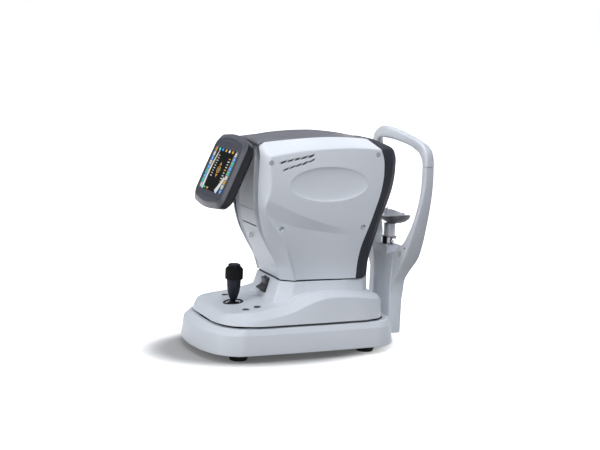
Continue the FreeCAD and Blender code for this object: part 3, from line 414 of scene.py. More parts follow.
def studio_world():
    """White behind the object, and for its light a sky that is bright above and dim below."""
    world = bpy.data.worlds.new("studio")
    bpy.context.scene.world = world
    world.use_nodes = True
    tree = world.node_tree
    place = tree.nodes.new("ShaderNodeTexCoord").outputs["Generated"]
    split = add_node(tree, "SeparateXYZ", {"Vector": place})
    lift = add_node(tree, "MapRange", {"From Min": -1.0, "Value": split.outputs["Z"]})
    ramp = add_node(tree, "ValToRGB", {"Fac": lift.outputs["Result"]})
    stops = ramp.color_ramp.elements
    stops[0].position, stops[0].color = 0.30, (0.075, 0.075, 0.08, 1)
    stops[1].position, stops[1].color = 0.85, (0.42, 0.45, 0.49, 1)
    stops.new(0.53).color = (0.265, 0.278, 0.30, 1)
    sky = set_inputs(tree, tree.nodes["Background"], {"Color": ramp.outputs["Color"]})
    white = add_node(tree, "Background", {"Color": (1, 1, 1, 1)})
    seen = tree.nodes.new("ShaderNodeLightPath").outputs["Is Camera Ray"]
    mix = add_node(tree, "MixShader", {"Fac": seen, 1: sky.outputs["Background"],
                                       2: white.outputs["Background"]})
    set_inputs(tree, tree.nodes["World Output"], {"Surface": mix.outputs["Shader"]})


# the floor's painted shadow: an ellipse, with its middle in front of the base's, where the floor's colour and
# glow are turned down; in metres
PAINTED_SHADOW_HALF_X, PAINTED_SHADOW_HALF_Y, PAINTED_SHADOW_MIDDLE_Y = 0.145, 0.235, -0.066
FLOOR_HALF = 30.0


def studio_floor():
    """Floor with a painted contact shadow, a darker colour and a weaker glow near the object, that turns into
    the white background further out.
    """
    mesh = bpy.data.meshes.new("floor")
    corners = [(a * FLOOR_HALF, b * FLOOR_HALF, 0) for a, b in SQUARE]
    mesh.from_pydata(corners, [], [(0, 1, 2, 3)])
    floor = bpy.data.objects.new("floor", mesh)
    bpy.context.scene.collection.objects.link(floor)
    material = plastic("floor_paint_and_painted_shadow", (0.96, 0.96, 0.96), 0.9, grain=0.0, tone=0.0)
    tree = material.node_tree
    place = tree.nodes.new("ShaderNodeTexCoord").outputs["Object"]
    footprint = add_node(tree, "Mapping", {"Vector": place, "Scale": (1 / PAINTED_SHADOW_HALF_X, 1 / PAINTED_SHADOW_HALF_Y, 1),
                                           "Location": (0, -PAINTED_SHADOW_MIDDLE_Y / PAINTED_SHADOW_HALF_Y, 0)})
    reach = add_node(tree, "VectorMath", {0: footprint.outputs["Vector"]}, operation="LENGTH")
    look = {"Specular IOR Level": 0.1, "Emission Color": (1, 1, 1, 1)}
    # painted shadow: near the object the glow drops and the base colour darkens
    for socket, near, far, low, high in (("Emission Strength", 0.86, 1.4, 0.06, 1.0),
                                         ("Base Color", 0.86, 1.32, 0.46, 0.97)):
        fade = add_node(tree, "MapRange", {"From Min": near, "From Max": far, "To Min": low, "To Max": high,
                                           "Value": reach.outputs["Value"]}, interpolation_type="SMOOTHSTEP")
        look[socket] = fade.outputs["Result"]
    set_inputs(tree, tree.nodes["Principled BSDF"], look)
    mesh.materials.append(material)
    floor.visible_diffuse = False


studio_world()
studio_floor()
bpy.context.scene.view_settings.view_transform = "Standard"


# ==== base ==========================================================================================

BASE_LOW, BASE_HIGH = node_box("base_cover")


def base_outline(inset, front_inset):
    """Plan of the base: a rounded nose, and wider corners at the rear; the inset can differ in front."""
    half, front, rear = BASE_HIGH[0], BASE_LOW[1] + front_inset, BASE_HIGH[1] - inset
    return rounded_path(mirrored_corners([
        (0, front - 1.1, 200), (58 - 0.24 * inset, front + 5, 120),
        (102 - 0.63 * inset, front + 23 - 0.18 * inset, 70), (half - 3 - inset, front + 54 - 0.65 * inset, 55),
        (half - inset, -60, 300), (half - 4 - inset, rear, max(58 - inset, 5))]), steps=12)


def build_base():
    bottom, top = BASE_LOW[2], BASE_HIGH[2]
    profile = open_path([(3.4, bottom + 3.4, 0), (3.2, bottom, 0.8), (0, bottom, 2.6), (3.6, bottom + 38, 5),
                         (9.5, top - 0.6, 2.6), (22, top - 0.6, 0)], 5)
    rings = []
    for inset, z in profile:
        wider = 1 + 0.9 * smooth_step(bottom + 30, top, z)
        rings.append(at_height(base_outline(inset, inset * wider if inset < 12 else inset + 8), z))
    cover = loft("base_shell", rings, "base", WHITE, ["base_cover"], angle=40)
    deck = [at_height(base_outline(inset, inset + 8), z) for inset, z in ((21, top - 4), (21, top - 1.0),
                                                                         (70, top - 1.0), (70, top - 4))]
    loft("base_deck", deck, "base", BLACK, angle=30)
    add_walls(cover, 2.6)
    low, high = node_box("mains_inlet")
    hole = rounded_box(low[1:] - 0.2, high[1:] + 0.2, 1)
    carve(cover, [prism_cutter(hole, low[0] - 4, low[0] + 12, "x")], angle=40)


# ==== stage =========================================================================================

# along Y: bottom half-width, lower ridge x and z, upper ridge x and z, deck z
STAGE_TABLE = np.array(((-205, 44, 42, 70, 40, 73, 73), (-201, 68, 65, 72.5, 58, 78, 78),
        (-191, 89, 85, 73.5, 74, 86.5, 85.5), (-176, 104, 99, 75, 86.5, 90.2, 87),
        (-155, 113, 107.5, 76.5, 94, 91.7, 89.3), (-135, 118, 112, 78, 97, 92.5, 91),
        (-96, 119.2, 112.5, 83, 97, 98.7, 97), (-66, 119.2, 112.5, 90, 96, 106, 103),
        (-42, 119.2, 111.5, 99, 91, 117, 116), (-20, 119.2, 111, 108, 90, 121, 120),
        (0, 119, 111, 113.5, 90, 122.2, 122), (45, 118, 110, 115.5, 90, 121, 121),
        (99, 114.6, 107, 109, 88, 116, 116), (122, 107.6, 101, 105.5, 82, 113, 113),
        (131, 98, 93, 103.5, 76, 110, 110), (136, 80, 77, 99, 68, 103, 103)))
STAGE_LOW, STAGE_HIGH = node_box("stage_cover")


def stage_row(y):
    """Row of the stage table at a station, interpolated in a variable that is round at both ends."""
    def stretch(v):
        v = np.asarray(v, float)
        front = np.sqrt(np.clip(v - STAGE_LOW[1], 0, 40) / 40)
        rear = np.sqrt(np.clip(STAGE_HIGH[1] - v, 0, 30) / 30)
        return 40 * front + np.clip(v, STAGE_LOW[1] + 40, STAGE_HIGH[1] - 30) - 30 * rear
    knots = stretch(STAGE_TABLE[:, 0])
    return [float(curve_through(knots, STAGE_TABLE[:, i])(stretch(y))) for i in range(1, 7)]


def stage_ring(y, inset=0.0):
    bottom, low_x, low_z, high_x, high_z, deck = stage_row(y)
    floor_z = STAGE_LOW[2] + 0.8 - inset * 2
    right = [(bottom - 2.5 - inset, floor_z, 0), (bottom - inset, floor_z, 1.2),
            (low_x - inset, low_z - inset, 5), (high_x - inset, high_z - inset, 5),
            (high_x - 10 - inset, deck - inset, 6), (30, deck + 0.6 - inset, 20)]
    return at_station(mirrored_path(right + [(0, deck + 0.6 - inset, 0)], 5), y)


def stage_stations(inset=0.0):
    u = np.linspace(0, 1, 14)
    front, rear = STAGE_LOW[1] + inset, STAGE_HIGH[1] - inset
    return np.concatenate([front + 30 * u**2, np.linspace(front + 34, rear - 28, 52), rear - 24 * u[::-1] ** 2])


def build_stage():
    rings = [stage_ring(y) for y in stage_stations()]
    cover = loft("stage_shell", rings, "stage", WHITE, ["stage_cover"], capped=True, angle=32)
    cutters = [cutter_from([stage_ring(y, 2.2) for y in stage_stations(2.6)])]
    for name in ("print_button", "mode_button", "menu_button"):
        low, high = node_box(name)
        cutters.append(round_cutter((low + high)[:2] / 2, (high - low)[0] / 2 + 0.35, 60, 110, "z"))
    low, high = node_box("joystick_socket")
    cutters.append(round_cutter((low + high)[:2] / 2, (high - low)[0] / 2 + 0.3, 60, 120, "z", 64))
    cutters.append(prism_cutter(neck_outline(1.2, 110), 60, 150, "z"))
    carve(cover, cutters, angle=32)


NECK_LOW, NECK_HIGH = node_box("neck_cover")


def neck_outline(inset, z):
    """Plan of the neck at a height: flat front with chamfered corners, rounded rear."""
    lean = (NECK_HIGH[2] - z) * 0.3
    front, half, rear = 72 + lean, 76 + lean * 0.25, 126
    right = [(half - 20, -front + inset, 7), (half - 3 - inset, -front + 27, 9), (half - inset, 60, 60),
             (half - 8 - inset, rear - 24, 18), (half - 34, rear - inset, 18)]
    return rounded_path(mirrored_corners(right), steps=8)


ROCKER_HOLE = ((-14, 108.5), (14, 138))


def build_neck():
    top = NECK_HIGH[2]
    profile = open_path([(0, NECK_LOW[2], 0), (0, top, 1.4), (3, top, 0), (3, top - 8, 0)], 4)
    rings = [at_height(neck_outline(inset, z), z) for inset, z in profile]
    cover = loft("neck_shell", rings, "stage", WHITE, ["neck_cover"], angle=32)
    add_walls(cover, 1.5)
    (left, low), (right, high) = ROCKER_HOLE
    carve(cover, [box_cutter((left, -110, low), (right, -58, high), 3)], angle=32)
    # pocket behind the rocker
    opening = rounded_box(*ROCKER_HOLE, 3)
    rings = []
    for ring, back in ((opening, -1.0), (opening, 9.0), (opening * 0 + (0, 123), 9.0)):
        rings.append(np.column_stack([ring[:, 0], -72 - (NECK_HIGH[2] - ring[:, 1]) * 0.3 + back, ring[:, 1]]))
    loft("rocker_pocket", rings, "stage", BLACK, angle=30)


# ==== controls ======================================================================================

def build_rocker():
    """Rocker whose lower half stands out as a lever; its faces are slightly hollow."""
    middle = node_middle("rocker")[2] + 0.5
    path = open_path([(8, -13.2, 0), (-3.6, -13.4, 2), (-11.6, -8.4, 1.4), (-11.2, -5.8, 1.0),
                      (-2.2, -2.2, 9), (0.6, 3, 12), (-1.4, 13.2, 1.2), (8, 13.4, 0)], 6)
    rings = []
    for x, inset in ((-12.6, 0.9), (-12.0, 0.25), (-11.2, 0), (11.2, 0), (12.0, 0.25), (12.6, 0.9)):
        rings.append(across_at(np.column_stack([path[:, 0] + inset - 80,
                                                path[:, 1] * (1 - inset * 0.02) + middle]), x))
    loft("rocker_key", rings, "rocker", BUTTON, ["rocker"], capped=True, angle=40)


def build_buttons():
    for name in ("print_button", "mode_button", "menu_button"):
        low, high = node_box(name)
        x, y = (low + high)[:2] / 2
        radius, top = (high - low)[0] / 2, high[2]
        lathe(name + "_cap", [(3, low[2], 0), (3, low[2] + 3, 0.2), (radius, low[2] + 3, 0.2),
                (radius, top - 0.6, 1.2), (radius - 2.2, top, 1.0), (radius - 3.2, top - 0.5, 1.0),
                (0, top - 0.6, 0)], (x, y, 0), name, BUTTON, [name], segments=48)


def lean_with_deck(obj, y, slope):
    """Shears a piece so that it lies flat on the sloping deck round a point."""
    for vertex in obj.data.vertices:
        vertex.co.z += slope * (vertex.co.y - y * MM)


# pieces round the foot of the joystick: name, profile from the deck up, slot, material, nodes, segments
STICK_FOOT = (
    ("stick_socket", [(15.6, -9, 0), (15.6, 0.9, 0.3), (17.0, 1.9, 0.6), (18.8, 1.9, 0.8), (19.9, 0.7, 0.4),
                      (19.9, -6, 0)], "black_plastic", STICK, ["joystick_socket"], 96),
    ("socket_lip", [(13.4, -4.2, 0), (13.4, -1.6, 0.4), (15.5, 1.2, 0.5), (15.5, -4, 0)],
     "chromed_brass", CHROME, (), 96),
    ("stick_gaiter", [(9.4, -1.6, 0), (10.1, -0.8, 0.5), (10.8, -3.0, 0.5), (11.6, -2.2, 0.5),
                      (12.3, -4.2, 0.5), (13.2, -5, 0)], "black_plastic", RUBBER, (), 72))


def build_joystick():
    x, y = 0.0, node_middle("joystick_socket")[1]
    deck = stage_row(y)[5]
    slope = (stage_row(y + 15)[5] - stage_row(y - 15)[5]) / 30
    for name, profile, slot, look, nodes, segments in STICK_FOOT:
        piece = lathe(name, profile, (x, y, deck), "stage", look, nodes, segments=segments)
        lean_with_deck(piece, y, slope)
    low, high = node_box("joystick_grip")
    knob_low = node_box("height_ring")[0][2] - 5
    lathe("stick_grip", [(0, low[2], 0), (5, low[2], 0.8), (5, 72, 0.5), (4, 75, 0.5), (8, 80, 3), (8, 86, 3),
                         (4.2, 90, 1), (5.2, 95, 1), (8.2, 100, 5), (11.2, 109.5, 30), (13.2, 122, 40),
                         (14.0, knob_low, 2), (13.6, knob_low + 4, 0.5), (7.9, knob_low + 4, 0.3),
                         (7.9, high[2], 0.3), (0, high[2], 0)],
          (x, y, 0), "joystick", STICK, ["joystick_grip"], segments=72)
    # height ring: a knurled band under a plain conical shoulder
    low, high = node_box("height_ring")
    band_top = high[2] - 8
    turns = np.linspace(0, 2 * math.pi, 360, endpoint=False)
    rings = []
    outer = 17.5
    for inset, z, knurl in ((outer - 8.1, knob_low + 0.2, 0), (1.6, knob_low + 0.2, 0),
            (0.5, knob_low + 1.0, 0.2), (0, knob_low + 2.2, 1), (0, band_top - 1.2, 1), (0.5, band_top, 0.2),
            (0.9, band_top + 0.8, 0), (3.9, band_top + 3.6, 0), (4.6, band_top + 4.6, 0),
            (4.8, band_top + 2.4, 0), (outer - 8.1, band_top + 2.4, 0)):
        radius = outer - inset - 0.45 * knurl * (0.5 + 0.5 * np.cos(turns * 45))
        rings.append(np.column_stack([radius * np.cos(turns), y + radius * np.sin(turns), np.full(360, z)]))
    loft("height_knob", rings, "height_ring", KNURL, ["height_ring"], angle=50)
    low, high = node_box("joystick_button")
    top = high[2] - 1.6
    lathe("stick_button", [(0, low[2], 0), (3, low[2], 0.2), (3, top - 5, 0.2), (11.6, top - 5, 0.3),
                           (12.4, top - 1.8, 1.6), (10.6, top, 1.4), (7.5, top - 0.9, 4), (0, top - 1.2, 0)],
          (x, y, 0), "joystick_button", STICK, ["joystick_button"], segments=72)


build_base()
build_stage()
build_neck()
build_rocker()
build_buttons()
build_joystick()

# ==== head ==========================================================================================

HEAD_BOTTOM = node_box("side_shell_right")[0][2]
LEVELS = (143.5, 176, 203, 235, 253, 284, 314, 357, 382, 396, 412, 422)


def by_level(values):
    return curve_through(LEVELS, values)


FRONT_EDGE_Y = by_level((-71, -82, -97, -113, -118.5, -125, -127.2, -126.6, -126, -126, -126, -126))
FRONT_EDGE_X = by_level((56, 58, 61, 64, 65, 66, 66, 66, 66, 66, 66, 66))
SIDE_X = by_level((76, 78.5, 81, 83.5, 84.4, 85, 85.3, 85.4, 85.4, 85.4, 85.4, 85.4))
REAR_Y = by_level((83, 84, 88, 98.5, 105, 115.5, 124.5, 129, 126.2, 120.5, 112, 108))
PANEL_Y = curve_through((143.5, 186, 216, 234, 253, 270, 286, 300, 314, 378, 422),
                        (-45, -60, -71.5, -83, -98, -110, -117, -115.5, -111, -112, -112))
TOP_Z = curve_through((-132, -90, -52, -10, 32, 75, 111, 130),
                      (407, 411.8, 415.2, 418, 418.6, 416.6, 412.8, 410))
BEND_Z = curve_through((-127, -110, -83, -53, -11, 31, 73, 108, 130),
                       (379, 383, 388.5, 393.3, 397.3, 399.2, 399.6, 397.6, 396))
TOP_X = curve_through((-132, 20, 60, 95, 128), (61, 61, 56, 46.5, 34))
SWOOSH_HIGH = curve_through((-127, -100, -75, -47, -4, 39, 71, 100),
                            (309, 297, 285.5, 273.5, 258, 246, 240, 236))
SWOOSH_LOW = curve_through((-127, -109, -77, -46, -3, 50, 71, 100),
                           (277, 268.7, 256.5, 247, 239, 231.5, 229.5, 227))
# the oval dish in the side: its middle, its half length and half height, and how deep it is
DISH_Y, DISH_Z, DISH_LONG, DISH_HIGH, DISH_DEPTH = 13.0, 330.5, 82.6, 33.0, 5.2
SWOOSH_DEPTH = 6.4


def side_surface(y, z):
    """Distance of the side shell's outer face from the plane of symmetry."""
    wide = SIDE_X(z)
    edge_slope = (wide - FRONT_EDGE_X(z)) / (PANEL_Y(z) - FRONT_EDGE_Y(z))
    front_drop = edge_slope * soft_positive(PANEL_Y(z) - y, 1.6)
    rise = TOP_Z(y) - BEND_Z(y)
    top_drop = (wide - TOP_X(y)) * (soft_positive((z - BEND_Z(y)) / rise, 0.05)) ** 1.12
    x = wide - np.hypot(front_drop, top_drop)
    radius = np.hypot((y - DISH_Y) / DISH_LONG, (z - DISH_Z) / DISH_HIGH)
    x = x - DISH_DEPTH * np.clip(1 - radius**2, 0, 1) ** 0.60
    fade = 1 - smooth_step(-20, 78, y)
    band = np.clip((SWOOSH_HIGH(y) - z) / (SWOOSH_HIGH(y) - SWOOSH_LOW(y)), 0, 1)
    inside = smooth_step(-4, 6, y - PANEL_Y(z))
    return x - SWOOSH_DEPTH * fade * inside * band


def shell_grid(rows, columns):
    """Grid over the side shell; y and z depend on one another, so they are worked out in turns."""
    u, v = np.meshgrid(np.linspace(0, 1, columns), np.linspace(0, 1, rows))
    z = np.full_like(u, 300.0)
    for _ in range(12):
        y = FRONT_EDGE_Y(z) + u * (REAR_Y(z) - 0.3 - FRONT_EDGE_Y(z))
        z = HEAD_BOTTOM + v * (TOP_Z(y) - HEAD_BOTTOM)
    return side_surface(y, z), y, z


# y, z and radius of the screw seats: two capped ones above, two deep ones below
SCREW_SEATS = ((-109.2, 372.5, 5.0), (114.3, 386.4, 5.0), (-80.1, 245.0, 5.4), (89.8, 245.0, 5.4))
# start and end of the two rows of slanted vents, as y and z
VENT_ROWS = (((-92.5, 372.6), (-22, 386.4)), ((-86, 358.6), (-21.5, 377.6)))
VENTS_PER_ROW, VENT_HALF_LENGTH, VENT_HALF_HEIGHT = 5, 6.1, 2.5


def build_side(side, name):
    x, y, z = shell_grid(236, 226)
    rows, columns = x.shape
    points = np.column_stack([side * x.ravel(), y.ravel(), z.ravel()])
    faces = loft_faces(rows, columns, closed=False)
    node = "side_shell_" + name
    shell = new_piece(node + "_skin", points, faces, "head", WHITE, [node], angle=60)
    add_walls(shell, 2.4)
    cutters = []
    for start, stop in VENT_ROWS:
        for i in range(VENTS_PER_ROW):
            share = (i + 0.5) / VENTS_PER_ROW
            middle = np.array(start) + (np.array(stop) - np.array(start)) * share
            slope = (stop[1] - start[1]) / (stop[0] - start[0]) + 0.12
            along = np.array([1, slope]) / math.hypot(1, slope)
            reach, lean = along * VENT_HALF_LENGTH, np.array([0.55, 1.0]) * VENT_HALF_HEIGHT
            ring = [middle + reach * a + lean * b for a, b in SQUARE]
            outline = rounded_path([(y, z, 0.6) for y, z in ring], steps=3)
            cutters.append(prism_cutter(outline, *sorted((side * 60, side * 95)), "x"))
    for y_screw, z_screw, radius in SCREW_SEATS:
        cutters.append(round_cutter((y_screw, z_screw), radius, *sorted((side * 60, side * 95)), "x", 32))
    carve(shell, cutters, angle=60)
    # capped seats above, deep seats with a screw below
    for y_screw, z_screw, radius in SCREW_SEATS:
        face_x = float(side_surface(np.array([y_screw]), np.array([z_screw]))[0])
        deep = radius > 5.2
        if deep:
            profile = [(radius - 0.1, -0.3, 0), (radius - 0.3, -5, 0.4), (2.9, -5, 0.3), (2.9, -3.4, 0.4),
                       (1.3, -3.1, 0.3), (1.2, -4.2, 0.2), (0, -4.2, 0)]
        else:
            profile = [(0, -0.5, 0), (radius - 0.5, -0.5, 0.5), (radius - 0.15, -0.8, 0.3),
                       (radius - 0.15, -9, 0)]
        lathe(f"{name}_seat_{int(y_screw)}_{int(z_screw)}".replace("-", "m"),
              [(r, side * a, c) for r, a, c in profile], (side * face_x, y_screw, z_screw), "head",
              WHITE if deep else CAP, ["shell_screws"] if side > 0 and not deep else [],
              axis="x", segments=36)


def build_patient_cover():
    bevel_x = by_level((70, 71, 72, 72.5, 72.5, 72.6, 72.6, 72.6, 72, 70, 60, 52))
    bevel_y = by_level((101.5, 103.5, 109, 119, 126, 137, 146.5, 153.5, 152, 143.5, 118, 112))
    back_y = by_level((121, 123.5, 131, 141, 146, 158.5, 168, 173.3, 171.5, 164, 129, 118))
    back_x = by_level((50, 50, 50, 50, 50, 50, 50, 50, 50, 49, 44, 36))
    levels = np.concatenate([np.linspace(HEAD_BOTTOM, 380, 52), np.linspace(383, 411.6, 18)])
    rings = []
    for z in levels:
        side_y = float(REAR_Y(z)) + 0.3
        side_x = float(side_surface(np.array([side_y - 0.3]), np.array([z]))[0])
        right = [(side_x, side_y, 0), (float(bevel_x(z)), float(bevel_y(z)), 9),
                 (float(back_x(z)), float(back_y(z)), 16), (0, float(back_y(z)) + 0.4, 0)]
        if right[1][0] > side_x - 2:
            right[1] = (side_x - 2, right[1][1], 9)
        if right[2][0] > right[1][0] - 6:
            right[2] = (right[1][0] - 6, right[2][1], 16)
        rings.append(at_height(mirrored_path(right, 8), z))
    last = rings[-1]
    for share, lift in ((0.9, 0.8), (0.6, 1.2)):
        ring = last.copy()
        ring[:, 0] *= share
        ring[:, 1] = 100 + (ring[:, 1] - 100) * share
        ring[:, 2] += lift
        rings.append(ring)
    cover = loft("patient_shell", rings, "head", DARK, ["patient_cover"], closed=False,
                 angle=38)
    add_walls(cover, 2.4)
    low, high = node_box("mire_ring")
    carve(cover, [round_cutter((low + high)[::2] / 2, (high - low)[0] / 2 + 0.3, 140, 200, "y", 96)], angle=38)


FRONT_CENTRE = curve_through((143.5, 176, 203, 235, 272, 300, 357, 390, 408),
                             (-71, -81.5, -95.5, -111, -121.5, -123.5, -124.5, -124.5, -124))
CHANNEL = curve_through((143.5, 172, 203, 235, 272, 300, 408), (0, 0.3, 6, 12, 19, 25, 25))
CHANNEL_EDGE = curve_through((143.5, 172, 203, 235, 272, 408), (56, 54, 47, 41, 38, 37))


# section of the line at the height of the eye, as out and up from the cover's face
EYE_MARK = ((-0.8, -0.55), (0.3, -0.55), (0.3, 0.55), (-0.8, 0.55))


def build_eye_marks():
    """Thin dark line at the height of the measured eye, on both sides of the patient cover."""
    z = node_middle("measuring_window")[2] + 2.6
    start = np.array([float(side_surface(np.array([REAR_Y(z)]), np.array([z]))[0]), float(REAR_Y(z)) + 0.6])
    end = np.array([72.6, 151.0])
    for side, name in SIDE_NAMES:
        rings = []
        for share in np.linspace(0, 0.9, 8):
            x, y = start + (end - start) * share
            rings.append([(side * (x + out), y, z + up) for out, up in EYE_MARK])
        loft("eye_mark_" + name, [np.array(ring) for ring in rings], "head", BLACK,
             capped=True)


def front_surface(x, z):
    """Y of the operator-side cover: a flat centre, a crisp step, then a slope up to the side shell's edge."""
    edge = CHANNEL_EDGE(z)
    across = np.abs(x)
    rise = smooth_step(edge + 2, FRONT_EDGE_X(z) - 1, across)
    channel = FRONT_CENTRE(z) + CHANNEL(z) * smooth_step(edge, edge + 2.0, across)
    return channel * (1 - rise) + (FRONT_EDGE_Y(z) + 2.6) * rise


def follow_edge(x, z):
    """Shifts the columns outside the door so that they follow the edge of the channel."""
    door_edge, limit = DOOR[0][1], 61.0
    share = np.clip((np.abs(x) - door_edge) / (limit - door_edge), 0, 1)
    start = CHANNEL_EDGE(z) - 0.4
    return np.where(np.abs(x) <= door_edge, x, np.sign(x) * (start + share * (limit - start)))


DOOR = ((-34.6, 34.6), (248.2, 276.7))
# the door's lip below its hinge line, and the gap under it that the lip needs when the door opens
DOOR_LIP, DOOR_GAP = 2.2, 2.2


def skin_patch(xs, zs, thickness=2.6):
    """Closed plate that follows the operator-side cover between given x and z."""
    grid_x, grid_z = np.meshgrid(xs, zs)
    grid_x = follow_edge(grid_x, grid_z)
    front = front_surface(grid_x, grid_z)
    rows, columns = grid_x.shape
    outer = np.column_stack([grid_x.ravel(), front.ravel(), grid_z.ravel()])
    inner = outer + np.array([0, thickness, 0])
    faces = loft_faces(rows, columns, closed=False)
    count = rows * columns
    faces += [tuple(i + count for i in reversed(face)) for face in faces]
    index = np.arange(count).reshape(rows, columns)
    edge = [int(i) for part in (index[0], index[1:, -1], index[-1, -2::-1], index[-2:0:-1, 0]) for i in part]
    faces += [(edge[i], edge[(i + 1) % len(edge)], edge[(i + 1) % len(edge)] + count, edge[i] + count)
              for i in range(len(edge))]
    return np.vstack([outer, inner]), faces


def build_front():
    outside = np.concatenate([np.linspace(34.7, 40, 9), np.linspace(42, 61, 16)])
    xs = np.concatenate([-outside[::-1], np.linspace(-34, 34, 9), outside])
    zs = np.linspace(HEAD_BOTTOM, 404.5, 70)
    points, faces = skin_patch(xs, zs)
    # the lower edge narrows to the flat front of the neck
    limit = np.minimum(np.abs(points[:, 0]), FRONT_EDGE_X(points[:, 2]) - 0.6)
    points[:, 0] = np.sign(points[:, 0]) * limit
    cover = new_piece("front_skin", points, faces, "head", WHITE, ["front_cover"], angle=40)
    (door_left, door_right), (door_low, door_high) = DOOR
    low, high = node_box("release_button")
    carve(cover, [box_cutter((door_left - 0.5, -150, door_low - DOOR_LIP - DOOR_GAP),
                             (door_right + 0.5, -60, door_high + 0.5), 2.5),
                  round_cutter((low + high)[::2] / 2, 4.9, -150, -80, "y"),
                  box_cutter((-27, -150, 380), (27, -60, 392), 2)], angle=40)
    door_points, door_faces = skin_patch(np.linspace(door_left, door_right, 24),
                                         np.linspace(door_low - DOOR_LIP, door_high, 16))
    door = new_piece("printer_flap", door_points, door_faces, "printer_door", WHITE,
                     ["printer_door"])
    add_bevel(door, 0.7)
    lathe("paper_release", [(0, high[1] - 0.2, 0), (6, high[1] - 0.2, 0.3), (6, high[1] - 1.6, 0.3),
                            (4.5, high[1] - 1.6, 0.3), (4.5, low[1], 0.9), (2.6, low[1], 0.5),
                            (2.0, low[1] + 0.5, 0.4), (0, low[1] + 0.6, 0)],
          (low + high) / 2 * (1, 0, 1), "release_button", WHITE_GLOSS, ["release_button"],
          axis="y", segments=40)


def build_top():
    """Dark lid with a raised spine whose flanks fade out towards the operator."""
    rows = []
    ys = np.concatenate([np.linspace(-127.5, -122, 5), np.linspace(-116, 118, 60), np.linspace(121, 128, 5)])
    crown = curve_through((-132, -79, -16, 27, 60, 94, 128), (411.5, 418.6, 424.3, 424.3, 420.4, 416.2, 411.8))
    for y in ys:
        half = float(TOP_X(y)) - 0.4
        edge = float(TOP_Z(y)) + 0.1
        top = float(crown(y))
        step = 2.4 * float(smooth_step(-120, -60, y)) * float(1 - smooth_step(60, 125, y))
        flank = 0.72 * half
        right = [(half, edge - 3, 0), (half, edge, 0.8), (flank, edge + 0.45 * (top - edge) - step * 0.6, 4),
                 (flank - 7, edge + 0.45 * (top - edge) + step, 4), (0.3 * half, top - 0.3, 12), (0, top, 0)]
        rows.append(at_station(mirrored_path(right, 6), y))
    front_drop = np.linspace(1, 0, 5) ** 2
    for i in range(5):
        rows[i][:, 2] -= 3.0 * front_drop[i]
        rows[-1 - i][:, 2] -= 1.6 * front_drop[i]
    lid = loft("top_lid", rows, "head", TOP_GREY, ["top_cover"], closed=False, capped=True,
               angle=32)
    add_walls(lid, 2.0)


# ==== monitor =======================================================================================

MONITOR_LEAN = math.radians(66.3)
# the display module is a plain slab, so the middle of its box is its own middle, 6.2 mm under the bezel's face
OUT = np.array([0, -math.sin(MONITOR_LEAN), math.cos(MONITOR_LEAN)])
RISE = np.array([0, math.cos(MONITOR_LEAN), math.sin(MONITOR_LEAN)])
SCREEN_ORIGIN = node_middle("lcd_panel") + OUT * 6.2
GLASS = (57.6, 43.2)
MONITOR_HALF, MONITOR_TALL, MONITOR_CORNER = 78, 77, 67.5


def on_monitor(points):
    """Points (right, up, out) of the monitor's face as points of the scene."""
    points = np.asarray(points, float)
    return (SCREEN_ORIGIN + points[:, :1] * np.array([1, 0, 0]) + points[:, 1:2] * RISE + points[:, 2:3] * OUT)


def monitor_outline(inset, steps=14):
    half, tall, corner = MONITOR_HALF - inset, MONITOR_TALL - inset, MONITOR_CORNER - inset
    curve = max(22 - 0.6 * inset, 4)
    return rounded_path(mirrored_corners([(0, -tall, 260), (half - 2, -corner, curve), (half, 0, 500),
                                          (half - 2, corner, curve), (0, tall, 260)]), steps=steps)


def monitor_rings(profile):
    return [on_monitor(at_height(monitor_outline(inset), out)) for inset, out in profile]


def window_ring(inset, out):
    """Screen opening with as many points as the outline, matched by direction from the middle."""
    outline = monitor_outline(10)
    half, tall, radius = GLASS[0] + inset, GLASS[1] + inset, 2.5
    path = rounded_path([(0, -tall, 0), (half, -tall, radius), (half, tall, radius), (-half, tall, radius),
                         (-half, -tall, radius)], steps=6)
    closed = np.vstack([path, path[:1]])
    lengths = np.concatenate([[0], np.cumsum(np.linalg.norm(np.diff(closed, axis=0), axis=1))])
    turn = np.unwrap(np.arctan2(closed[:, 0] * tall / half, -closed[:, 1]))
    wanted = np.unwrap(np.arctan2(outline[:, 0] * tall / half * 0.82, -outline[:, 1]))
    spots = np.interp(wanted, turn, lengths)
    ring = np.column_stack([np.interp(spots, lengths, closed[:, 0]), np.interp(spots, lengths, closed[:, 1])])
    return on_monitor(at_height(ring, out))


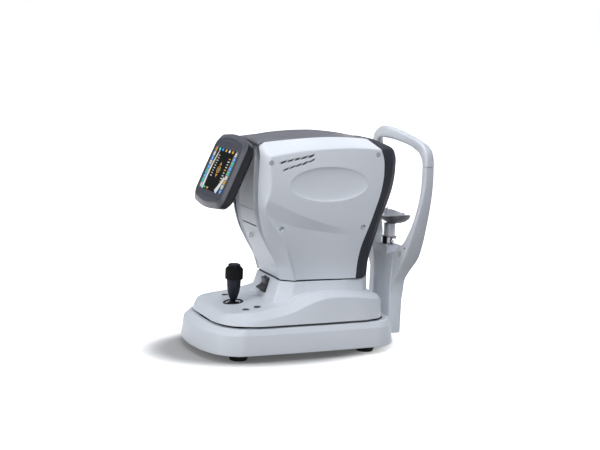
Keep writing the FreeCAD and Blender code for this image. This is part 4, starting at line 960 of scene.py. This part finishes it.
def build_monitor():
    shell = open_path([(60, -29.8, 0), (13, -29.8, 3), (3.5, -22, 8), (0.4, -9.5, 1.2), (0.4, -7.9, 0.3)], 6)
    loft("monitor_shell", monitor_rings(shell), "monitor", MONITOR_BLACK, angle=25)
    # hinge knuckle behind the shell
    hinge_y, hinge_z = frame_joint("monitor_tilt")
    lathe("monitor_knuckle", [(2.2, -19.4, 0), (4.3, -19.4, 0.6), (4.3, 19.4, 0.6), (2.2, 19.4, 0)],
          (0, hinge_y, hinge_z), "monitor", MONITOR_BLACK, ["monitor_back"], axis="x")
    outline = rounded_box((hinge_y - 10, hinge_z - 4.2), (hinge_y - 1, hinge_z + 4.2), 1)
    lug = [across_at(outline, x) for x in (-19.3, 19.3)]
    loft("monitor_lug", lug, "monitor", MONITOR_BLACK, capped=True)
    # band round the edge, made lighter than the face as a painted highlight, then the darker face with the
    # screen opening
    band = open_path([(0.2, -7.8, 0), (0.2, -6.4, 1.0), (8.5, -1.2, 3.0), (10, -0.9, 0)], 5)
    loft("monitor_band", monitor_rings(band), "monitor", MONITOR_PAINTED_HIGHLIGHT, angle=25)
    face = open_path([(9.6, -1.4, 0), (9.8, -0.4, 0.6), (12, 0, 1.5), (14, -0.1, 0)], 3)
    rings = monitor_rings(face) + [window_ring(6.0, -0.5), window_ring(1.0, -0.9), window_ring(0.0, -1.9)]
    loft("monitor_face", rings, "monitor", MONITOR_GREY, ["monitor_bezel"], angle=25)
    # shallow crescent ridges above and below the screen
    for sign in (1, -1):
        path = np.linspace(-46, 46, 48)
        rise = sign * (49.2 + 9.5 * np.sqrt(np.clip(1 - (path / 47) ** 2, 0, 1)))
        rings = []
        for across, out in ((-0.9, -0.15), (-0.3, 0.32), (0.3, 0.32), (0.9, -0.15)):
            rings.append(on_monitor(np.column_stack([path, rise + across, np.full(48, out)])))
        loft("monitor_crescent_" + ("top" if sign > 0 else "low"), rings, "monitor",
             MONITOR_GREY, closed=False, angle=60)


def frame_joint(name):
    """Y and Z of a joint's axis, in millimetres."""
    for joint in frame["record"]["behaviour"]["joints"]:
        if joint["name"] == name:
            return joint["pos_m"][1] / MM, joint["pos_m"][2] / MM
    raise KeyError(name)


def glowing(name, colour, strength):
    """Lit part of the display, with a fine uneven tone like a grid of dots."""
    material = plastic(name, [c * 0.3 for c in colour], 0.3, grain=0.0, tone=0.02, specular=0.06)
    tree = material.node_tree
    set_inputs(tree, tree.nodes["Principled BSDF"],
               {"Emission Color": (*colour, 1), "Emission Strength": strength})
    return material


def build_screen():
    """Generic eye picture: dark pupil between pale arcs, a target in the middle and rows of plain icons."""
    tints = {"night": glowing("screen_night", (0.003, 0.003, 0.004), 0.2),
             "pale": glowing("screen_pale", (0.62, 0.66, 0.64), 0.85),
             "amber": glowing("screen_amber", (0.62, 0.33, 0.06), 0.9),
             "blue": glowing("screen_blue", (0.02, 0.26, 0.75), 1.1),
             "teal": glowing("screen_teal", (0.05, 0.50, 0.42), 0.95),
             "grey": glowing("screen_grey", (0.25, 0.26, 0.29), 0.6)}
    order = list(tints)
    points, faces, looks = [], [], []

    def close_quad(base, tint):
        faces.append((base, base + 1, base + 2, base + 3))
        looks.append(order.index(tint))

    def quad(x, y, half_x, half_y, tint, out=-1.45):
        base = len(points)
        for a, b in SQUARE:
            points.append((x + a * half_x, y + b * half_y, out))
        close_quad(base, tint)

    def ribbon(x, y, widths, tint, out=-1.5):
        path = np.column_stack([x, y]).astype(float)
        along = np.gradient(path, axis=0)
        normal = np.column_stack([-along[:, 1], along[:, 0]]) / np.linalg.norm(along, axis=1)[:, None]
        for i in range(len(path) - 1):
            base = len(points)
            for k, sign in ((i, -1), (i + 1, -1), (i + 1, 1), (i, 1)):
                spot = path[k] + normal[k] * sign * widths[k]
                points.append((spot[0], spot[1], out))
            close_quad(base, tint)

    quad(0, 0, GLASS[0] + 1, GLASS[1] + 1, "night", out=-1.7)
    quad(-52.5, 0, 5.1, GLASS[1], "grey", out=-1.6)
    quad(51.5, 0, 6.1, GLASS[1], "grey", out=-1.6)
    u = np.linspace(0, 1, 30)
    height = -43 + 84 * u
    left = -44 + 3 * (1 - u) + 30 * np.clip(u - 0.42, 0, 1) ** 1.6
    ribbon(left, height, 1.2 + 3.6 * (1 - u) ** 1.5 + 0.6 * np.sin(math.pi * u), "pale")
    ribbon(left[10:26] + 4.4, height[10:26], [0.8] * 16, "amber", out=-1.48)
    right = 42 - 52 * np.clip(0.36 - u, 0, 1) ** 1.25
    ribbon(right[:12], height[:12], (6.4 * (1 - u) ** 1.6 + 0.8)[:12], "pale")
    ribbon(right[8:28] + 2.2, height[8:28], [0.55] * 20, "amber", out=-1.48)
    # columns of plain icons
    marks = ("amber", "pale", "blue", "pale", "blue", "teal", "blue", "teal", "pale")
    for i, mark in enumerate(marks):
        y = 37 - 9.3 * i
        quad(-52.5, y, 4.6, 3.6, mark)
        quad(-52.5, y - 0.2, 1.4, 1.0, "night" if mark != "blue" else "pale", out=-1.4)
        quad(51.5, y - 1, 5.4, 3.4, marks[(i + 3) % 9])
        quad(51.5, y - 1.2, 1.6, 1.0, "pale" if marks[(i + 3) % 9] == "blue" else "night", out=-1.4)
    for i, mark in enumerate(("teal", "blue", "amber", "pale", "amber")):
        quad(-36 + 17 * i, 39.2, 4.0, 2.6, mark)
    # short bars that stand for readings
    for i in range(9):
        quad(-24, 27 - 5.2 * i, 2.6 + 0.8 * (i % 3), 0.9, "pale")
        quad(31, 25 - 5.6 * i, 3.2 + 0.9 * ((i + 1) % 3), 1.0, "pale" if i % 4 else "amber")
    # target: ring with a wedge above and below
    turns = np.linspace(0, 2 * math.pi, 33)
    ribbon(7.5 * np.cos(turns), 6 * np.sin(turns), [0.9] * 33, "amber")
    ribbon(2.6 * np.cos(turns), 2.2 * np.sin(turns), [0.5] * 33, "pale")
    for sign in (1, -1):
        ribbon((0, 0, 0), (sign * 9, sign * 12, sign * 15.5), (4.4, 2.6, 0.3), "amber")
    quad(-34, -39.5, 6.5, 1.6, "teal")
    quad(-16, -39.5, 5.0, 1.6, "amber")
    mesh = bpy.data.meshes.new("screen_picture")
    mesh.from_pydata([tuple(p) for p in on_monitor(points) * MM], [], faces)
    for tint in order:
        mesh.materials.append(tints[tint])
    for face, look in zip(mesh.polygons, looks):
        face.material_index = look
    obj = bpy.data.objects.new("screen_picture", mesh)
    bpy.context.scene.collection.objects.link(obj)
    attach(obj, "monitor")
    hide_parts("lcd_panel")


# ==== chin rest and headrest ========================================================================

def section_rings(rows, count, radius, swell=0.0):
    """Rounded box sections, grown by swell, along a table of outer (x, z), inner (x, z), front y and rear y."""
    flat = np.array([(*outer, *inner, front, rear) for outer, inner, front, rear in rows], float)
    middle = (flat[:, 0:2] + flat[:, 2:4]) / 2
    along = np.concatenate([[0], np.cumsum(np.linalg.norm(np.diff(middle, axis=0), axis=1))])
    shapes = [curve_through(along, flat[:, i]) for i in range(6)]
    rings = []
    for at in np.linspace(0, along[-1], count):
        outer_x, outer_z, inner_x, inner_z, front, rear = (float(shape(at)) for shape in shapes)
        width = math.hypot(outer_x - inner_x, outer_z - inner_z)
        grow = swell / width
        outer_x, inner_x = outer_x + (outer_x - inner_x) * grow, inner_x - (outer_x - inner_x) * grow
        outer_z, inner_z = outer_z + (outer_z - inner_z) * grow, inner_z - (outer_z - inner_z) * grow
        front, rear = front - swell, rear + swell
        plan = rounded_path([(0, rear, radius), (0, front, radius), (width, front, radius),
                             (width, rear, radius)], steps=5)
        share = plan[:, 0] / width
        rings.append(np.column_stack([outer_x + (inner_x - outer_x) * share, plan[:, 1],
                                      outer_z + (inner_z - outer_z) * share]))
    return rings


ARM_ROWS = [((43.5, 84), (40, 181), 180, 207), ((45.6, 104), (44.5, 186.5), 180.5, 208),
        ((50, 126), (51, 192), 182.5, 208), ((62, 146), (60, 199.5), 184, 211),
        ((80, 175), (73, 210), 186, 219), ((91, 205), (82.5, 227), 189, 221.5),
        ((101, 242), (89.5, 250), 194, 222.5), ((110, 282), (96, 280), 199, 223),
        ((116, 330), (100, 322), 203, 223), ((117, 365.2), (100.5, 365.2), 203, 222)]
ARCH_ROWS = [((117.2, 366.4), (100.3, 366.4), 203, 222), ((114.5, 389), (97.5, 376), 203, 220),
             ((105.5, 403.5), (88, 389.5), 201, 217), ((90, 414), (74, 398.5), 195, 209),
             ((70, 421.3), (60, 404.5), 189, 202), ((50, 427), (45, 408), 183, 195),
             ((30, 431.8), (27, 411.2), 176.5, 188), ((0, 434.6), (0, 412), 172.4, 183)]


def build_column():
    """Column under the chin rest: a broad lower body with a prow, and a narrow block that holds the pole."""
    low, high = node_box("headrest_column")
    rear = high[1] - 1

    def ring(z, corners, lift=0.0):
        path = rounded_path(mirrored_corners([(nose, y, 0.8 if y < rear else 5) for nose, y in corners]),
                            steps=4)
        rise = z + lift * np.clip(np.abs(path[:, 0]) - 28, 0, None)
        return np.column_stack([path, rise])

    body = [ring(low[2] + 0.2, ((9, low[1]), (45, 177.5), (45, rear))),
            ring(130, ((9, low[1]), (45, 177.5), (45, rear))),
            ring(150, ((12, low[1] + 0.5), (45, 178), (45, rear))),
            ring(179, ((28, low[1] + 5.5), (45, 180.5), (45, rear)), 0.45)]
    shrunk = body[-1].copy()
    shrunk[:, 0] *= 0.5
    shrunk[:, 1] = 190 + (shrunk[:, 1] - 190) * 0.6
    loft("column_body", body + [shrunk], "base", WHITE, ["headrest_column"], capped=True,
         angle=25)
    block = [ring(z, ((28 - inset, low[1] + 6.5 + inset), (28 - inset, rear - inset)))
             for z, inset in ((170, 0.0), (high[2] - 0.8, 0.0), (high[2], 0.8))]
    loft("column_block", block, "base", WHITE, capped=True, angle=25)


def flipped(row):
    return (-row[0][0], row[0][1]), (-row[1][0], row[1][1]), row[2], row[3]


def build_headrest():
    for side, name in SIDE_NAMES:
        rows = ARM_ROWS if side > 0 else [flipped(row) for row in ARM_ROWS]
        node = "headrest_arm_" + name
        loft(node + "_post", section_rings(rows, 90, 3.0), "base", WHITE, [node],
             capped=True, angle=30)
        # dark screw in the front of the root
        lathe("arm_screw_" + name, [(0, 185.9, 0), (1.2, 185.9, 0.3), (1.9, 186.4, 0.3), (1.9, 190, 0)],
              (side * 79, 0, 199), "base", ANODISED, axis="y", segments=24)
    rows = ARCH_ROWS + [flipped(row) for row in reversed(ARCH_ROWS[:-1])]
    loft("brow_bow", section_rings(rows, 150, 5.0, 0.7), "base", WHITE, ["forehead_arch"],
         capped=True, angle=40)


def build_cup():
    """Saddle-shaped cup: its rim rises at both sides, and its wall flares out. The underside is a mid-dark grey
    that is painted shade.
    """
    bottom, middle_y = node_box("chin_cup")[0][2], node_middle("chin_cup")[1]
    turns = np.linspace(0, 2 * math.pi, 96, endpoint=False)
    saddle = np.cos(turns) ** 2
    under = ((12.2, 12.2, 0, 0), (16, 14, 0.3, 0), (19, 15, 1.2, 0.0), (30, 21.5, 4.4, 0),
             (38, 27.5, 9.5, 0.1), (41.2, 30.2, 14.6, 0.5), (42.0, 31.0, 17.2, 0.85))
    upper = (under[-1], (41.9, 30.9, 18.2, 1.0), (41.0, 30.0, 18.7, 1.0), (39.9, 28.9, 17.9, 0.95),
             (37.5, 26.0, 14.4, 0.6), (30, 20, 10.0, 0.2), (18, 11, 8.4, 0), (6, 4, 8.0, 0), (0.1, 0.1, 8.0, 0))
    # white top; the grey underside is painted shade
    for name, rows, slot, material in (("chin_saddle", upper, "white_gloss", WHITE_GLOSS),
                                       ("chin_shell", under, "grey_plastic", CUP_PAINTED_SHADE)):
        rings = []
        for across, along, height, rise in rows:
            rings.append(np.column_stack([across * np.cos(turns), middle_y + along * np.sin(turns),
                                          bottom + height + rise * (4.6 * saddle - 3.4 * (1 - saddle))]))
        loft(name, rings, "chin_rest", material, ["chin_cup"] if name == "chin_saddle" else (), angle=50)


for side, name in SIDE_NAMES:
    build_side(side, name)
build_patient_cover()
build_eye_marks()
build_front()
build_top()
build_monitor()
build_screen()
build_column()
build_headrest()
build_cup()
